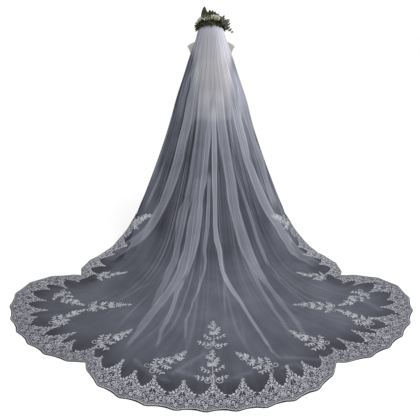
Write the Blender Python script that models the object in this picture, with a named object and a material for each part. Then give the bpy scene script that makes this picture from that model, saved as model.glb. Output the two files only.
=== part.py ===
"""Cathedral bridal veil with a flower wreath, spread from a dress form over the floor.

Units are metres, +Z is up.  The form's axis is the local origin: the form faces +Y and the
veil falls behind it, towards -Y.  At the end everything is shifted so that the middle of the
whole footprint lies on the world origin, at floor level.
"""
import math

import bmesh
import bpy
from mathutils import Matrix, Vector
from mathutils.bvhtree import BVHTree

# ---- cloth ------------------------------------------------------------------------------
TULLE_WALL = 0.0015
LACE_WALL = 0.0013
SEAM_GAP = 0.0004            # clear space between pieces that are sewn or laid together

# Horizontal sections of the hanging cloth, from the floor up.  Each is an arc about the
# form's axis: its radius at the middle of the back and at the side edges, and the angle
# from the back (degrees) at which a side edge lies.
SECTIONS = (
    # height, back_radius, edge_radius, edge_angle
    (0.000, 1.360, 1.400, 35.0),
    (0.030, 1.250, 1.290, 34.6),
    (0.120, 1.120, 1.164, 34.2),
    (0.310, 0.930, 0.975, 33.9),
    (0.500, 0.770, 0.830, 33.9),
    (0.730, 0.590, 0.675, 33.9),
    (0.900, 0.460, 0.535, 36.6),
    (1.100, 0.315, 0.370, 44.6),
    (1.320, 0.180, 0.245, 48.0),
    (1.400, 0.150, 0.205, 53.0),
    (1.480, 0.122, 0.160, 60.0),
    (1.550, 0.092, 0.118, 71.0),
    (1.600, 0.062, 0.093, 93.0),
)

# The hem of the right half, from the middle of the train to the corner where the side edge
# begins.  Each lobe is one cubic curve.  The lie is the direction, in degrees from straight
# back, in which the cloth runs into the hem at the lobe's start and end.  The last column is
# the depth of the lace there, as a share of its full depth.
HEM_LOBES = (
    # repeats, start, start_handle, end_handle, end, start_lie, end_lie, lace
    (5.5, (0.000, -2.678), (0.360, -2.678), (0.600, -2.540), (0.655, -2.352), 0, 27, 1.00),
    (10, (0.655, -2.352), (1.150, -2.330), (1.600, -1.420), (0.900, -1.455), 27, 146, 1.00),
    (5, (0.900, -1.455), (0.990, -1.220), (0.690, -1.020), (0.600, -0.900), 116, 85, 0.66),
)
COLUMNS_PER_REPEAT = 3       # mesh columns in one repeat of the lace
NOTCH_COLUMNS = 7            # columns over which the lace narrows towards a notch
CORNER_COLUMNS = 13          # and towards a corner
CORNER_LIE = 50              # lie of the cloth at the corner itself

# Rows of the cloth: how high each hanging row is between the junction with the floor (0) and
# the gathered edge (1), and how far each floor row is from that junction to the lace (1).
HANG_LEVELS = (0.972, 0.91, 0.80, 0.66, 0.52, 0.38, 0.25, 0.12, 0.0)
FLOOR_LEVELS = (0.40, 0.74, 1.0)
JUNCTION_MIDDLE = 0.030      # height of the junction at the middle and at the side edges
JUNCTION_EDGE = 0.420
FANNING = 4.0                # how late a column turns out into its lobe
EVENING_PASSES = 6           # how much neighbouring columns are evened out on the floor

# ---- folds ------------------------------------------------------------------------------
GATHER_COLUMNS = 4           # mesh columns in one gather
GATHER_SLOPE = 0.12          # gather height as a share of its width
GATHER_RUN_OUT = 0.72        # share of the way to the hem at which the gathers have faded
# The deepest folds: where they run across the width (-1 to 1), half their width, their
# height, and how far they reach towards the hem.
MAIN_FOLDS = (
    # place, half_width, height, reach
    (-0.86, 0.050, 0.016, 0.74),
    (-0.66, 0.040, 0.011, 0.70),
    (-0.50, 0.055, 0.022, 0.84),
    (-0.31, 0.035, 0.013, 0.80),
    (-0.15, 0.045, 0.017, 0.78),
    (-0.04, 0.030, 0.012, 0.74),
    (0.11, 0.050, 0.018, 0.80),
    (0.24, 0.030, 0.010, 0.72),
    (0.37, 0.060, 0.024, 0.86),
    (0.54, 0.035, 0.014, 0.78),
    (0.78, 0.050, 0.017, 0.74),
    (0.93, 0.030, 0.010, 0.66),
)

# ---- lace -------------------------------------------------------------------------------
LACE_PEAK = 0.190            # depth of the border at the tip of a flame
LACE_VALLEY = 0.088          # depth between two flames
LACE_NOTCH = 0.50            # share of that depth left where two lobes meet
LACE_CORNER = 0.08           # and at the two corners
LACE_ROWS = (1.0, 0.62, 0.24, 0.0)   # rows of the border, from its inner edge to the hem
LACE_MARGIN = 0.080          # plain net kept between the flames' tips and the last floor row
HEM_SCALLOP = 0.010          # how far the middle of each repeat stands out at the hem
# The open places in one repeat: the mesh cell each lies in and its corners, as shares of
# the cell's width and depth.
LACE_GAPS = (
    # column, row, corners
    (0, 0, ((0.52, 0.42), (0.84, 0.30), (0.80, 0.80), (0.34, 0.84))),
    (1, 0, ((0.16, 0.30), (0.48, 0.42), (0.66, 0.84), (0.20, 0.80))),
    (2, 1, ((0.25, 0.22), (0.75, 0.22), (0.82, 0.74), (0.18, 0.74))),
)

GAP_TWIST = 0.0016           # a cell bent further out of plane than this is left whole

# Appliqué sprays on the train, widest at the foot: where each has its foot and its tip, how
# far its stem bends (a share of its length) and the length of its leaves.
SPRAYS = (
    # foot_x, foot_y, tip_x, tip_y, bend, leaf
    (0.000, -2.222, 0.000, -1.985, 0.05, 0.068),
    (0.000, -2.470, 0.000, -2.250, -0.05, 0.066),
    (-0.300, -2.392, -0.133, -2.262, 0.12, 0.052),
    (0.305, -2.388, 0.133, -2.270, -0.12, 0.052),
    (-0.610, -2.188, -0.455, -2.070, 0.10, 0.048),
    (0.605, -2.196, 0.450, -2.080, -0.10, 0.048),
    (-0.740, -1.850, -0.490, -1.821, -0.06, 0.044),
    (0.745, -1.852, 0.510, -1.822, 0.06, 0.044),
    (-0.975, -1.690, -0.785, -1.830, 0.12, 0.052),
    (0.985, -1.685, 0.790, -1.832, -0.12, 0.052),
    (-0.900, -2.010, -0.775, -1.875, -0.10, 0.048),
    (0.900, -2.020, 0.780, -1.878, 0.10, 0.048),
    (-0.760, -1.470, -0.590, -1.415, 0.08, 0.036),
    (0.765, -1.480, 0.600, -1.420, -0.08, 0.036),
)
SPRAY_LEAVES = 4             # pairs of leaves on a spray

# ---- headpiece --------------------------------------------------------------------------
NECK_LEAN = 20.0             # degrees forward
NECK_FOOT = (0.0, -0.010, 1.470)
NECK_RADIUS = 0.058
NECK_LENGTH = 0.134
WREATH_ALONG_NECK = 0.112    # place of the wreath's ring along the neck
WREATH_FIT = 0.0008          # how loosely the ring sits round the neck
RING_TUBE = 0.017
RING_SIDES = 6
RING_STEPS = 36
BAND_WALL = 0.003            # the ribbon that binds the gathered edge
BAND_HEIGHT = 0.012
BAND_DROP = 0.002            # the ribbon's middle lies this far below the ring's
BAND_HALF_ANGLE = 75.0
BAND_STEPS = 30
# Leaves grow from the six sides of the ring in rows.  A lift is an angle from outward (0) to
# up the neck (90).  Each row has the side it grows from, the lift of its leaves, its first
# ring step and spacing in steps, how far round from the back it begins, and lengths in turn.
LEAF_ROWS = (
    # side, lift, first, every, begins, lengths
    (60.0, 42.0, 0, 2, 0.0, (0.050, 0.062, 0.044, 0.066)),
    (120.0, 96.0, 1, 3, 0.0, (0.050, 0.064, 0.042)),
    (0.0, 4.0, 1, 2, 92.0, (0.044, 0.056, 0.038)),
)
LEAF_WIDTH = 0.019
LEAF_WALL = 0.003
# Single long leaves: angle round the ring from the back, lift and length.
LONG_LEAVES = (
    # around, side, lift, length
    (-40.0, 120.0, 88.0, 0.105),
    (-90.0, 0.0, -22.0, 0.070),
    (90.0, 0.0, -18.0, 0.085),
)
# Flowers on the wreath: angle round the ring from the back, and radius of the bloom.
ROSES = (
    # around, bloom
    (-60.0, 0.029),
    (20.0, 0.030),
    (-20.0, 0.022),
    (60.0, 0.020),
)
ROSE_LIFT = 60.0

# ---- dress form -------------------------------------------------------------------------
FORM_SECTIONS = (
    # height, half_width, front_depth, back_depth
    (0.760, 0.160, 0.105, 0.100),
    (0.840, 0.172, 0.112, 0.110),
    (0.940, 0.155, 0.103, 0.095),
    (1.040, 0.124, 0.092, 0.078),
    (1.140, 0.136, 0.108, 0.086),
    (1.220, 0.152, 0.128, 0.096),
    (1.310, 0.168, 0.112, 0.104),
    (1.380, 0.188, 0.092, 0.100),
    (1.415, 0.200, 0.070, 0.082),
    (1.432, 0.172, 0.060, 0.076),
    (1.448, 0.135, 0.054, 0.072),
    (1.464, 0.096, 0.052, 0.068),
)
FORM_SIDES = 24
POLE_RADIUS = 0.016
BASE_RADIUS = 0.180
BASE_HEIGHT = 0.018
BASE_BEVEL = 0.005
STAND_SIDES = 40


# ---- small helpers ----------------------------------------------------------------------
def smooth(value):
    """Ease from 0 to 1."""
    value = min(max(value, 0.0), 1.0)
    return value * value * (3 - 2 * value)


def table_value(table, column, height):
    """A column of SECTIONS at a height."""
    for low, high in zip(table, table[1:]):
        if height <= high[0]:
            share = (height - low[0]) / (high[0] - low[0])
            return low[column] + (high[column] - low[column]) * max(share, 0.0)
    return table[-1][column]


def bezier(p0, p1, p2, p3, t):
    """A point on a cubic curve."""
    u = 1 - t
    return tuple(
        u**3 * a + 3 * u * u * t * b + 3 * u * t * t * c + t**3 * d
        for a, b, c, d in zip(p0, p1, p2, p3)
    )


def heading(angle):
    """Plan direction at an angle from straight back, positive to the right."""
    return Vector((math.sin(math.radians(angle)), -math.cos(math.radians(angle))))


def plan_angle(plan):
    """Angle of a plan point round the form, in degrees from straight back."""
    return math.degrees(math.atan2(plan.x, -plan.y))


def new_object(name, vertices, faces, material, flat_angle=None):
    """One closed, outward-facing mesh object."""
    mesh = bpy.data.meshes.new(name)
    mesh.from_pydata([tuple(v) for v in vertices], [], faces)
    bm = bmesh.new()
    bm.from_mesh(mesh)
    bmesh.ops.recalc_face_normals(bm, faces=bm.faces)
    bmesh.ops.triangulate(bm, faces=[f for f in bm.faces if len(f.verts) > 4])
    bm.to_mesh(mesh)
    bm.free()
    mesh.materials.append(material)
    mesh.shade_smooth()
    if flat_angle is not None:
        mesh.set_sharp_from_angle(angle=math.radians(flat_angle))
    thing = bpy.data.objects.new(name, mesh)
    bpy.context.scene.collection.objects.link(thing)
    return thing


def new_material(name, colour, roughness, metallic=0.0):
    """A plain Principled material."""
    material = bpy.data.materials.new(name)
    material.use_nodes = True
    shader = material.node_tree.nodes["Principled BSDF"]
    shader.inputs["Base Color"].default_value = (*colour, 1.0)
    shader.inputs["Roughness"].default_value = roughness
    shader.inputs["Metallic"].default_value = metallic
    return material


# ---- the lie of the cloth ---------------------------------------------------------------
def section(side, height):
    """Plan point where the cloth at a place across its width (-1 to 1) passes a height."""
    back = table_value(SECTIONS, 1, height)
    edge = table_value(SECTIONS, 2, height)
    angle = table_value(SECTIONS, 3, height) * side
    return heading(angle) * (back + (edge - back) * side * side)


def height_at(plan):
    """Height of the cloth over a plan point, 0 where it lies on the floor."""
    angle = plan_angle(plan)
    low = 0.0
    high = JUNCTION_EDGE * 2
    for _ in range(30):
        middle = (low + high) / 2
        side = min(max(angle / table_value(SECTIONS, 3, middle), -1.0), 1.0)
        if section(side, middle).length > plan.length:
            low = middle
        else:
            high = middle
    return low if low > 1e-6 else 0.0


def lobe_curve(lobe, steps=48):
    """Points along a lobe's hem with the length run so far."""
    points = [Vector(bezier(*lobe[1:5], i / steps)) for i in range(steps + 1)]
    run = [0.0]
    for a, b in zip(points, points[1:]):
        run.append(run[-1] + (b - a).length)
    return points, run


def hem_stations():
    """Plan point, lie and lace share of every column at the hem, from left to right."""
    right = []
    for lobe, following in zip(HEM_LOBES, HEM_LOBES[1:] + (None,)):
        beyond = (lobe[6] + following[5]) / 2 if following else CORNER_LIE
        narrowest, run_out = (LACE_NOTCH, NOTCH_COLUMNS) if following else (LACE_CORNER, CORNER_COLUMNS)
        points, run = lobe_curve(lobe)
        columns = lobe[0] * COLUMNS_PER_REPEAT
        first = 0.5 if columns % 1 else 1.0
        steps = [first + i for i in range(int(columns - first) + 1)]
        for step in steps:
            wanted = run[-1] * step / columns
            i = max(j for j in range(len(run) - 1) if run[j] <= wanted + 1e-9)
            share = (wanted - run[i]) / (run[i + 1] - run[i])
            lie = lobe[5] + (lobe[6] - lobe[5]) * step / columns
            lace = min(lobe[7], narrowest + smooth((columns - step) / run_out))
            if lobe is not HEM_LOBES[0]:
                lace = min(lace, LACE_NOTCH + smooth(step / NOTCH_COLUMNS))
            if step == columns:
                lie = beyond
            right.append((points[i].lerp(points[i + 1], share), lie, lace))
    left = [(Vector((-p.x, p.y)), -lie, lace) for p, lie, lace in reversed(right)]
    return left + right


def wreath_frame():
    """Middle of the wreath's ring, its axis, and the way to its back."""
    lean = math.radians(NECK_LEAN)
    axis = Vector((0, math.sin(lean), math.cos(lean)))
    back = Vector((0, -math.cos(lean), math.sin(lean)))
    return Vector(NECK_FOOT) + axis * WREATH_ALONG_NECK, axis, back


def round_wreath(around):
    """Direction from the ring's middle at an angle from its back, positive to the right."""
    _, _, back = wreath_frame()
    turn = math.radians(around)
    return Vector((math.sin(turn), 0, 0)) + back * math.cos(turn)


TUBE_FLAT = RING_TUBE * math.cos(math.pi / RING_SIDES)     # from its middle to a flat side
RING_RADIUS = NECK_RADIUS + WREATH_FIT + TUBE_FLAT
BAND_RADIUS = RING_RADIUS + TUBE_FLAT + SEAM_GAP


def evened(row):
    """A row of plan points with each drawn a little towards its neighbours."""
    for _ in range(EVENING_PASSES):
        inside = [(a + b * 2 + c) / 4 for a, b, c in zip(row, row[1:], row[2:])]
        row = row[:1] + inside + row[-1:]
    return row


def laid_points(plans):
    """Plan points raised to the height at which the cloth lies over them."""
    return [plan.to_3d() + Vector((0, 0, height_at(plan))) for plan in plans]


def drape_grid():
    """Points of the cloth's underside before folding: grid[row][column]."""
    middle, axis, _ = wreath_frame()
    stations = hem_stations()
    last = len(stations) - 1
    tuck = BAND_DROP + BAND_HEIGHT / 2 + SEAM_GAP
    hanging = []
    floor = []
    border = []
    for index, (hem, lie, lace) in enumerate(stations):
        side = 2 * index / last - 1
        out = heading(lie)
        top = middle + round_wreath(BAND_HALF_ANGLE * side) * BAND_RADIUS - axis * tuck
        junction = JUNCTION_MIDDLE + (JUNCTION_EDGE - JUNCTION_MIDDLE) * abs(side) ** 3
        column = [top]
        for level in HANG_LEVELS:
            height = junction + (top.z - junction) * level
            column.append(section(side, height).to_3d() + Vector((0, 0, height)))
        hanging.append(column)
        # over the floor, straight at first and then out into the lobe
        start = section(side, junction)
        end = hem - out * (LACE_PEAK + LACE_MARGIN) * lace
        column = []
        for level in FLOOR_LEVELS:
            radius = start.length + (end.length - start.length) * level
            turn = (plan_angle(end) - plan_angle(start)) * level**FANNING
            column.append(heading(plan_angle(start) + turn) * radius)
        floor.append(column)
        # the border, down to the scalloped hem
        flame = 1.0 if index % COLUMNS_PER_REPEAT == 1 else 0.1
        depth = (LACE_VALLEY + (LACE_PEAK - LACE_VALLEY) * flame) * lace
        scallop = HEM_SCALLOP * (flame == 1.0)
        border.append([hem - out * (depth * level - scallop * (1 - level)) for level in LACE_ROWS])
    rows = [list(row) for row in zip(*hanging)]
    rows += [laid_points(evened(list(row))) for row in zip(*floor)]
    rows += [laid_points(row) for row in zip(*border)]
    return rows


def grid_normals(grid):
    """Outward direction at each point of a grid."""
    rows = len(grid)
    width = len(grid[0])
    normals = []
    for r in range(rows):
        line = []
        for c in range(width):
            across = grid[r][min(c + 1, width - 1)] - grid[r][max(c - 1, 0)]
            along = grid[min(r + 1, rows - 1)][c] - grid[max(r - 1, 0)][c]
            line.append(along.cross(across).normalized())
        normals.append(line)
    return normals


def cloth_normals(grid):
    """Outward directions of the cloth, square to the ribbon along the gathered edge."""
    normals = grid_normals(grid)
    last = len(grid[0]) - 1
    normals[0] = [round_wreath(BAND_HALF_ANGLE * (2 * c / last - 1)) for c in range(last + 1)]
    return normals


def fold_grid(grid):
    """Raise the gathers and the main folds from the plain drape."""
    normals = cloth_normals(grid)
    width = len(grid[0])
    folded = [list(row) for row in grid]
    for c in range(width):
        side = 2 * c / (width - 1) - 1
        run = [0.0]
        for r in range(1, len(grid)):
            run.append(run[-1] + (grid[r][c] - grid[r - 1][c]).length)
        wave = 0.5 + 0.5 * math.cos(2 * math.pi * (c - (width - 1) / 2) / GATHER_COLUMNS)
        for r in range(len(grid)):
            way = run[r] / run[-1]
            spacing = (grid[r][min(c + 1, width - 1)] - grid[r][max(c - 1, 0)]).length / 2
            fading = 1 - smooth((way - 0.25) / (GATHER_RUN_OUT - 0.25))
            rise = GATHER_SLOPE * GATHER_COLUMNS * spacing * wave * fading
            for place, half_width, height, reach in MAIN_FOLDS:
                apart = abs(side - place) / half_width
                if apart < 1:
                    swell = smooth(way / 0.30) * (1 - smooth((way - 0.35) / (reach - 0.35)))
                    rise += height * swell * math.cos(apart * math.pi / 2) ** 2
            folded[r][c] = grid[r][c] + normals[r][c] * rise
    return folded


# ---- walls from grids -------------------------------------------------------------------
def wall_faces(rows, width, gaps=()):
    """Triangles of a thin wall: an inner grid, then an outer grid, joined round the edge.

    Each gap is a cell (row, column) with the first index of its eight corner points: four
    inner, then four outer.
    """
    size = rows * width
    holes = {(row, column): first for row, column, first in gaps}
    faces = []
    for r in range(rows - 1):
        for c in range(width - 1):
            corners = (r * width + c, r * width + c + 1, (r + 1) * width + c + 1, (r + 1) * width + c)
            if (r, c) in holes:
                first = holes[r, c]
                for k in range(4):
                    m = (k + 1) % 4
                    a, b, p, q = corners[k], corners[m], first + m, first + k
                    faces += [(a, b, p), (a, p, q)]
                    faces += [(b + size, a + size, p + 4), (p + 4, a + size, q + 4)]
                    faces += [(q, p, p + 4), (q, p + 4, q + 4)]
                continue
            a, b, p, q = corners
            faces += [(a, b, p), (a, p, q)]
            faces += [(b + size, a + size, p + size), (p + size, a + size, q + size)]
    rim = [c for c in range(width)]
    rim += [r * width + width - 1 for r in range(1, rows)]
    rim += [(rows - 1) * width + c for c in range(width - 2, -1, -1)]
    rim += [r * width for r in range(rows - 2, 0, -1)]
    for a, b in zip(rim, rim[1:] + rim[:1]):
        faces += [(b, a, a + size), (b, a + size, b + size)]
    return faces


def moved_out(grid, normals, distance):
    """A copy of a grid moved along its normals."""
    return [[p + n * distance for p, n in zip(*pair)] for pair in zip(grid, normals)]


def flat_list(grid):
    """The points of a grid in one list."""
    return [point for row in grid for point in row]


def make_tulle(grid, normals, material):
    """The net itself, one panel from the gathered edge to the hem."""
    outer = moved_out(grid, normals, TULLE_WALL)
    faces = wall_faces(len(grid), len(grid[0]))
    return new_object("veil_tulle_panel", flat_list(grid) + flat_list(outer), faces, material)


def out_of_plane(a, b, p, q):
    """How far q stands off the plane of the other three corners of a cell."""
    return (q - a).dot((b - a).cross(p - a).normalized())


def make_lace(name, grid, normals, first, last, material):
    """One lobe of the border, laid on the panel's own points, with its open places cut."""
    top = len(grid) - len(LACE_ROWS)
    width = last - first + 1
    layers = []
    for lift in (TULLE_WALL + SEAM_GAP, TULLE_WALL + SEAM_GAP + LACE_WALL):
        layer = []
        for r in range(top, len(grid)):
            row = [grid[r][c] + normals[r][c] * lift for c in range(first, last + 1)]
            for end, beside in ((0, 1), (-1, -2)):
                row[end] = row[end] + (row[beside] - row[end]).normalized() * SEAM_GAP / 2
            layer.append(row)
        layers.append(layer)
    vertices = flat_list(layers[0]) + flat_list(layers[1])
    gaps = []
    for start in range(-first % COLUMNS_PER_REPEAT, width - COLUMNS_PER_REPEAT, COLUMNS_PER_REPEAT):
        for column, row, corners in LACE_GAPS:
            c = start + column
            cells = [layer[row][c:c + 2] + layer[row + 1][c:c + 2] for layer in layers]
            if max(abs(out_of_plane(*cell)) for cell in cells) > GAP_TWIST:
                continue
            gaps.append((row, c, len(vertices)))
            for a, b, p, q in cells:
                for across, along in corners:
                    vertices.append(a.lerp(b, across).lerp(p.lerp(q, across), along))
    faces = wall_faces(len(LACE_ROWS), width, gaps)
    return new_object(name, vertices, faces, material, 40)


def spray_outline(length, leaf, bend):
    """Plan outline of a leafy spray that starts at the origin and runs along +X."""
    def stem(share):
        return Vector((length * share, length * bend * math.sin(math.pi * share)))

    upper = []
    lower = []
    for i in range(SPRAY_LEAVES):
        share = 0.10 + 0.72 * i / (SPRAY_LEAVES - 1)
        size = leaf * (1 - 0.35 * share)
        foot = stem(share)
        half = 0.16 * length / SPRAY_LEAVES
        for side, edge in ((1, upper), (-1, lower)):
            edge.append(foot + Vector((-half, side * 0.006)))
            edge.append(foot + Vector((size * 0.20, side * size * 0.70)))
            edge.append(foot + Vector((size * 0.75, side * size * 0.80)))
            edge.append(foot + Vector((half, side * 0.007)))
    return upper + [stem(1.0)] + lower[::-1]


def make_spray(name, row, panel, material):
    """One flat appliqué spray, lying on the panel."""
    foot_x, foot_y, tip_x, tip_y, bend, leaf = row
    foot = Vector((foot_x, foot_y))
    along = Vector((tip_x, tip_y)) - foot
    length = along.length
    along.normalize()
    across = Vector((-along.y, along.x))
    outline = [foot + along * p.x + across * p.y for p in spray_outline(length, leaf, bend)]
    pairs = zip(outline, outline[1:] + outline[:1])
    probes = [a.lerp(b, step / 4) for a, b in pairs for step in range(4)]
    heights = [panel.ray_cast(p.to_3d() + Vector((0, 0, 1)), Vector((0, 0, -1)))[0].z for p in probes]
    rest = max(heights) + SEAM_GAP
    vertices = [p.to_3d() + Vector((0, 0, rest + lift)) for lift in (0, LACE_WALL) for p in outline]
    count = len(outline)
    faces = [tuple(range(count)), tuple(range(2 * count - 1, count - 1, -1))]
    for i in range(count):
        j = (i + 1) % count
        faces.append((i, i + count, j + count, j))
    return new_object(name, vertices, faces, material, 40)


# ---- headpiece --------------------------------------------------------------------------
def tube_direction(around, lift):
    """Way out of the ring's tube: lift 0 is outward in its plane, 90 is up its axis."""
    _, axis, _ = wreath_frame()
    turn = math.radians(lift)
    return round_wreath(around) * math.cos(turn) + axis * math.sin(turn)


def make_band(material):
    """The ribbon that binds the gathered edge, bent round the back of the ring."""
    middle, axis, _ = wreath_frame()
    vertices = []
    for i in range(BAND_STEPS + 1):
        out = round_wreath(BAND_HALF_ANGLE * (2 * i / BAND_STEPS - 1))
        for radius, height in (
            (BAND_RADIUS, -BAND_HEIGHT / 2),
            (BAND_RADIUS + BAND_WALL, -BAND_HEIGHT / 2),
            (BAND_RADIUS + BAND_WALL, BAND_HEIGHT / 2),
            (BAND_RADIUS, BAND_HEIGHT / 2),
        ):
            vertices.append(middle + out * radius + axis * (height - BAND_DROP))
    faces = [(0, 1, 2, 3)]
    for i in range(BAND_STEPS):
        for k in range(4):
            a = 4 * i + k
            b = 4 * i + (k + 1) % 4
            faces.append((a, b, b + 4, a + 4))
    end = 4 * BAND_STEPS
    faces.append((end + 3, end + 2, end + 1, end))
    return new_object("gathering_ribbon", vertices, faces, material, 40)


def rose_middle(around, bloom):
    """Middle of a bloom that rests on the ring."""
    middle, _, _ = wreath_frame()
    out = tube_direction(around, ROSE_LIFT)
    return middle + round_wreath(around) * RING_RADIUS + out * (TUBE_FLAT + SEAM_GAP + bloom)


def clear_of_roses(foot, tip):
    """Whether a leaf from foot to tip keeps clear of every bloom."""
    for around, bloom in ROSES:
        rose = rose_middle(around, bloom)
        share = min(max((rose - foot).dot(tip - foot) / (tip - foot).length_squared, 0.0), 1.0)
        if (foot.lerp(tip, share) - rose).length < bloom + LEAF_WIDTH * 0.75:
            return False
    return True


def grow_leaf(bm, face, out, length, width):
    """Draw a pointed leaf out of a face of the ring."""
    foot = face.calc_center_median()
    middle, axis, _ = wreath_frame()
    ring_way = axis.cross(foot - middle).normalized()
    thick_way = out.cross(ring_way).normalized()
    corners = list(face.verts)
    for share, half_width, half_wall in (
        (0.45, width / 2, LEAF_WALL / 2),
        (1.0, width * 0.08, LEAF_WALL * 0.3),
    ):
        ring = []
        for corner in corners:
            across = 1 if (corner.co - foot).dot(ring_way) > 0 else -1
            through = 1 if (corner.co - foot).dot(thick_way) > 0 else -1
            place = foot + out * length * share
            place += ring_way * across * half_width + thick_way * through * half_wall
            ring.append(bm.verts.new(place))
        for k in range(4):
            m = (k + 1) % 4
            bm.faces.new((corners[k], corners[m], ring[m], ring[k]))
        if share < 1.0:
            bm.faces.remove(face)
            corners = ring
            face = bm.faces.new(ring)
        else:
            bm.faces.remove(face)
            bm.faces.new(ring)


def make_wreath(material):
    """The ring bound with leaves, as one body."""
    middle, axis, _ = wreath_frame()
    bm = bmesh.new()
    rings = []
    for i in range(RING_STEPS):
        around = 360.0 * (i - 0.5) / RING_STEPS
        hub = middle + round_wreath(around) * RING_RADIUS
        ring = []
        for k in range(RING_SIDES):
            lift = 360.0 * (k - 0.5) / RING_SIDES
            ring.append(bm.verts.new(hub + tube_direction(around, lift) * RING_TUBE))
        rings.append(ring)
    faces = {}
    for i in range(RING_STEPS):
        ahead = rings[(i + 1) % RING_STEPS]
        for k in range(RING_SIDES):
            m = (k + 1) % RING_SIDES
            faces[i, k] = bm.faces.new((rings[i][k], ahead[k], ahead[m], rings[i][m]))
    leaves = []
    for around, side, lift, length in LONG_LEAVES:
        leaves.append((round(around / 360.0 * RING_STEPS) % RING_STEPS, side, lift, length))
    for side, lift, first, every, begins, lengths in LEAF_ROWS:
        for turn, i in enumerate(range(first, RING_STEPS, every)):
            from_back = min(i, RING_STEPS - i) * 360.0 / RING_STEPS
            if from_back >= begins:
                leaves.append((i, side, lift, lengths[turn % len(lengths)]))
    taken = set()
    for i, side, lift, length in leaves:
        side = round(side / 360.0 * RING_SIDES)
        around = 360.0 * i / RING_STEPS
        face = faces[i, side]
        foot = face.calc_center_median()
        out = tube_direction(around, lift)
        beside = any((j, side) in taken for j in ((i - 1) % RING_STEPS, i, (i + 1) % RING_STEPS))
        if beside or not clear_of_roses(foot, foot + out * length):
            continue
        taken.add((i, side))
        grow_leaf(bm, face, out, length, LEAF_WIDTH)
    mesh = bpy.data.meshes.new("wreath_leaves")
    bmesh.ops.recalc_face_normals(bm, faces=bm.faces)
    bm.to_mesh(mesh)
    bm.free()
    mesh.materials.append(material)
    mesh.shade_smooth()
    mesh.set_sharp_from_angle(angle=math.radians(35))
    thing = bpy.data.objects.new("wreath_leaves", mesh)
    bpy.context.scene.collection.objects.link(thing)
    return thing


ROSE_PROFILE = (
    # along the axis and out from it, as shares of the bloom
    (-1.00, 0.16),
    (-0.62, 0.62),
    (-0.05, 0.92),
    (0.45, 0.98),
    (0.42, 0.62),
    (0.78, 0.44),
    (0.70, 0.16),
)
ROSE_PETALS = 5


def make_rose(name, around, bloom, material):
    """A bloom: a cup of petals round a tight heart, turned about its own axis."""
    middle = rose_middle(around, bloom)
    out = tube_direction(around, ROSE_LIFT)
    turn = out.to_track_quat("Z", "Y").to_matrix()
    vertices = []
    sides = ROSE_PETALS * 2
    for level, (along, across) in enumerate(ROSE_PROFILE):
        for k in range(sides):
            angle = math.pi * (2 * k + level) / sides
            petal = 1.0 if k % 2 or level == 0 else 0.86
            spot = Vector((math.cos(angle) * petal, math.sin(angle) * petal, 0)) * across
            vertices.append(middle + turn @ (spot + Vector((0, 0, along))) * bloom)
    faces = [tuple(range(sides - 1, -1, -1))]
    for level in range(len(ROSE_PROFILE) - 1):
        for k in range(sides):
            m = (k + 1) % sides
            a = level * sides
            faces.append((a + k, a + m, a + sides + m, a + sides + k))
    end = (len(ROSE_PROFILE) - 1) * sides
    faces.append(tuple(range(end, end + sides)))
    return new_object(name, vertices, faces, material, 35)


# ---- dress form -------------------------------------------------------------------------
def make_form(material):
    """Torso and leaning neck of the form, without arms or head, as one body."""
    lean = math.radians(NECK_LEAN)
    axis = Vector((0, math.sin(lean), math.cos(lean)))
    front = Vector((0, math.cos(lean), -math.sin(lean)))
    rings = []
    for height, half_width, front_depth, back_depth in FORM_SECTIONS:
        ring = []
        for k in range(FORM_SIDES):
            turn = 2 * math.pi * k / FORM_SIDES
            depth = front_depth if math.sin(turn) > 0 else back_depth
            ring.append(Vector((half_width * math.cos(turn), depth * math.sin(turn), height)))
        rings.append(ring)
    for share, flare in ((0.16, 1.12), (0.40, 1.0), (1.0, 1.0)):
        hub = Vector(NECK_FOOT) + axis * NECK_LENGTH * share
        ring = []
        for k in range(FORM_SIDES):
            turn = 2 * math.pi * k / FORM_SIDES
            out = Vector((math.cos(turn), 0, 0)) + front * math.sin(turn)
            ring.append(hub + out * NECK_RADIUS * flare)
        rings.append(ring)
    vertices = [point for ring in rings for point in ring]
    faces = [tuple(range(FORM_SIDES - 1, -1, -1))]
    for level in range(len(rings) - 1):
        for k in range(FORM_SIDES):
            m = (k + 1) % FORM_SIDES
            a = level * FORM_SIDES
            faces.append((a + k, a + m, a + FORM_SIDES + m, a + FORM_SIDES + k))
    end = (len(rings) - 1) * FORM_SIDES
    faces.append(tuple(range(end, end + FORM_SIDES)))
    return new_object("form_torso", vertices, faces, material, 50)


def make_turned(name, profile, sides, material):
    """A body turned about the form's axis from rows of height and radius."""
    vertices = []
    for height, radius in profile:
        for k in range(sides):
            turn = 2 * math.pi * k / sides
            vertices.append(Vector((radius * math.cos(turn), radius * math.sin(turn), height)))
    faces = [tuple(range(sides - 1, -1, -1))]
    for level in range(len(profile) - 1):
        for k in range(sides):
            m = (k + 1) % sides
            a = level * sides
            faces.append((a + k, a + m, a + sides + m, a + sides + k))
    end = (len(profile) - 1) * sides
    faces.append(tuple(range(end, end + sides)))
    return new_object(name, vertices, faces, material, 40)


# ---- the whole part ---------------------------------------------------------------------
LACE_NAMES = ("lace_side_left", "lace_train_left", "lace_centre", "lace_train_right",
              "lace_side_right")


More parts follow.
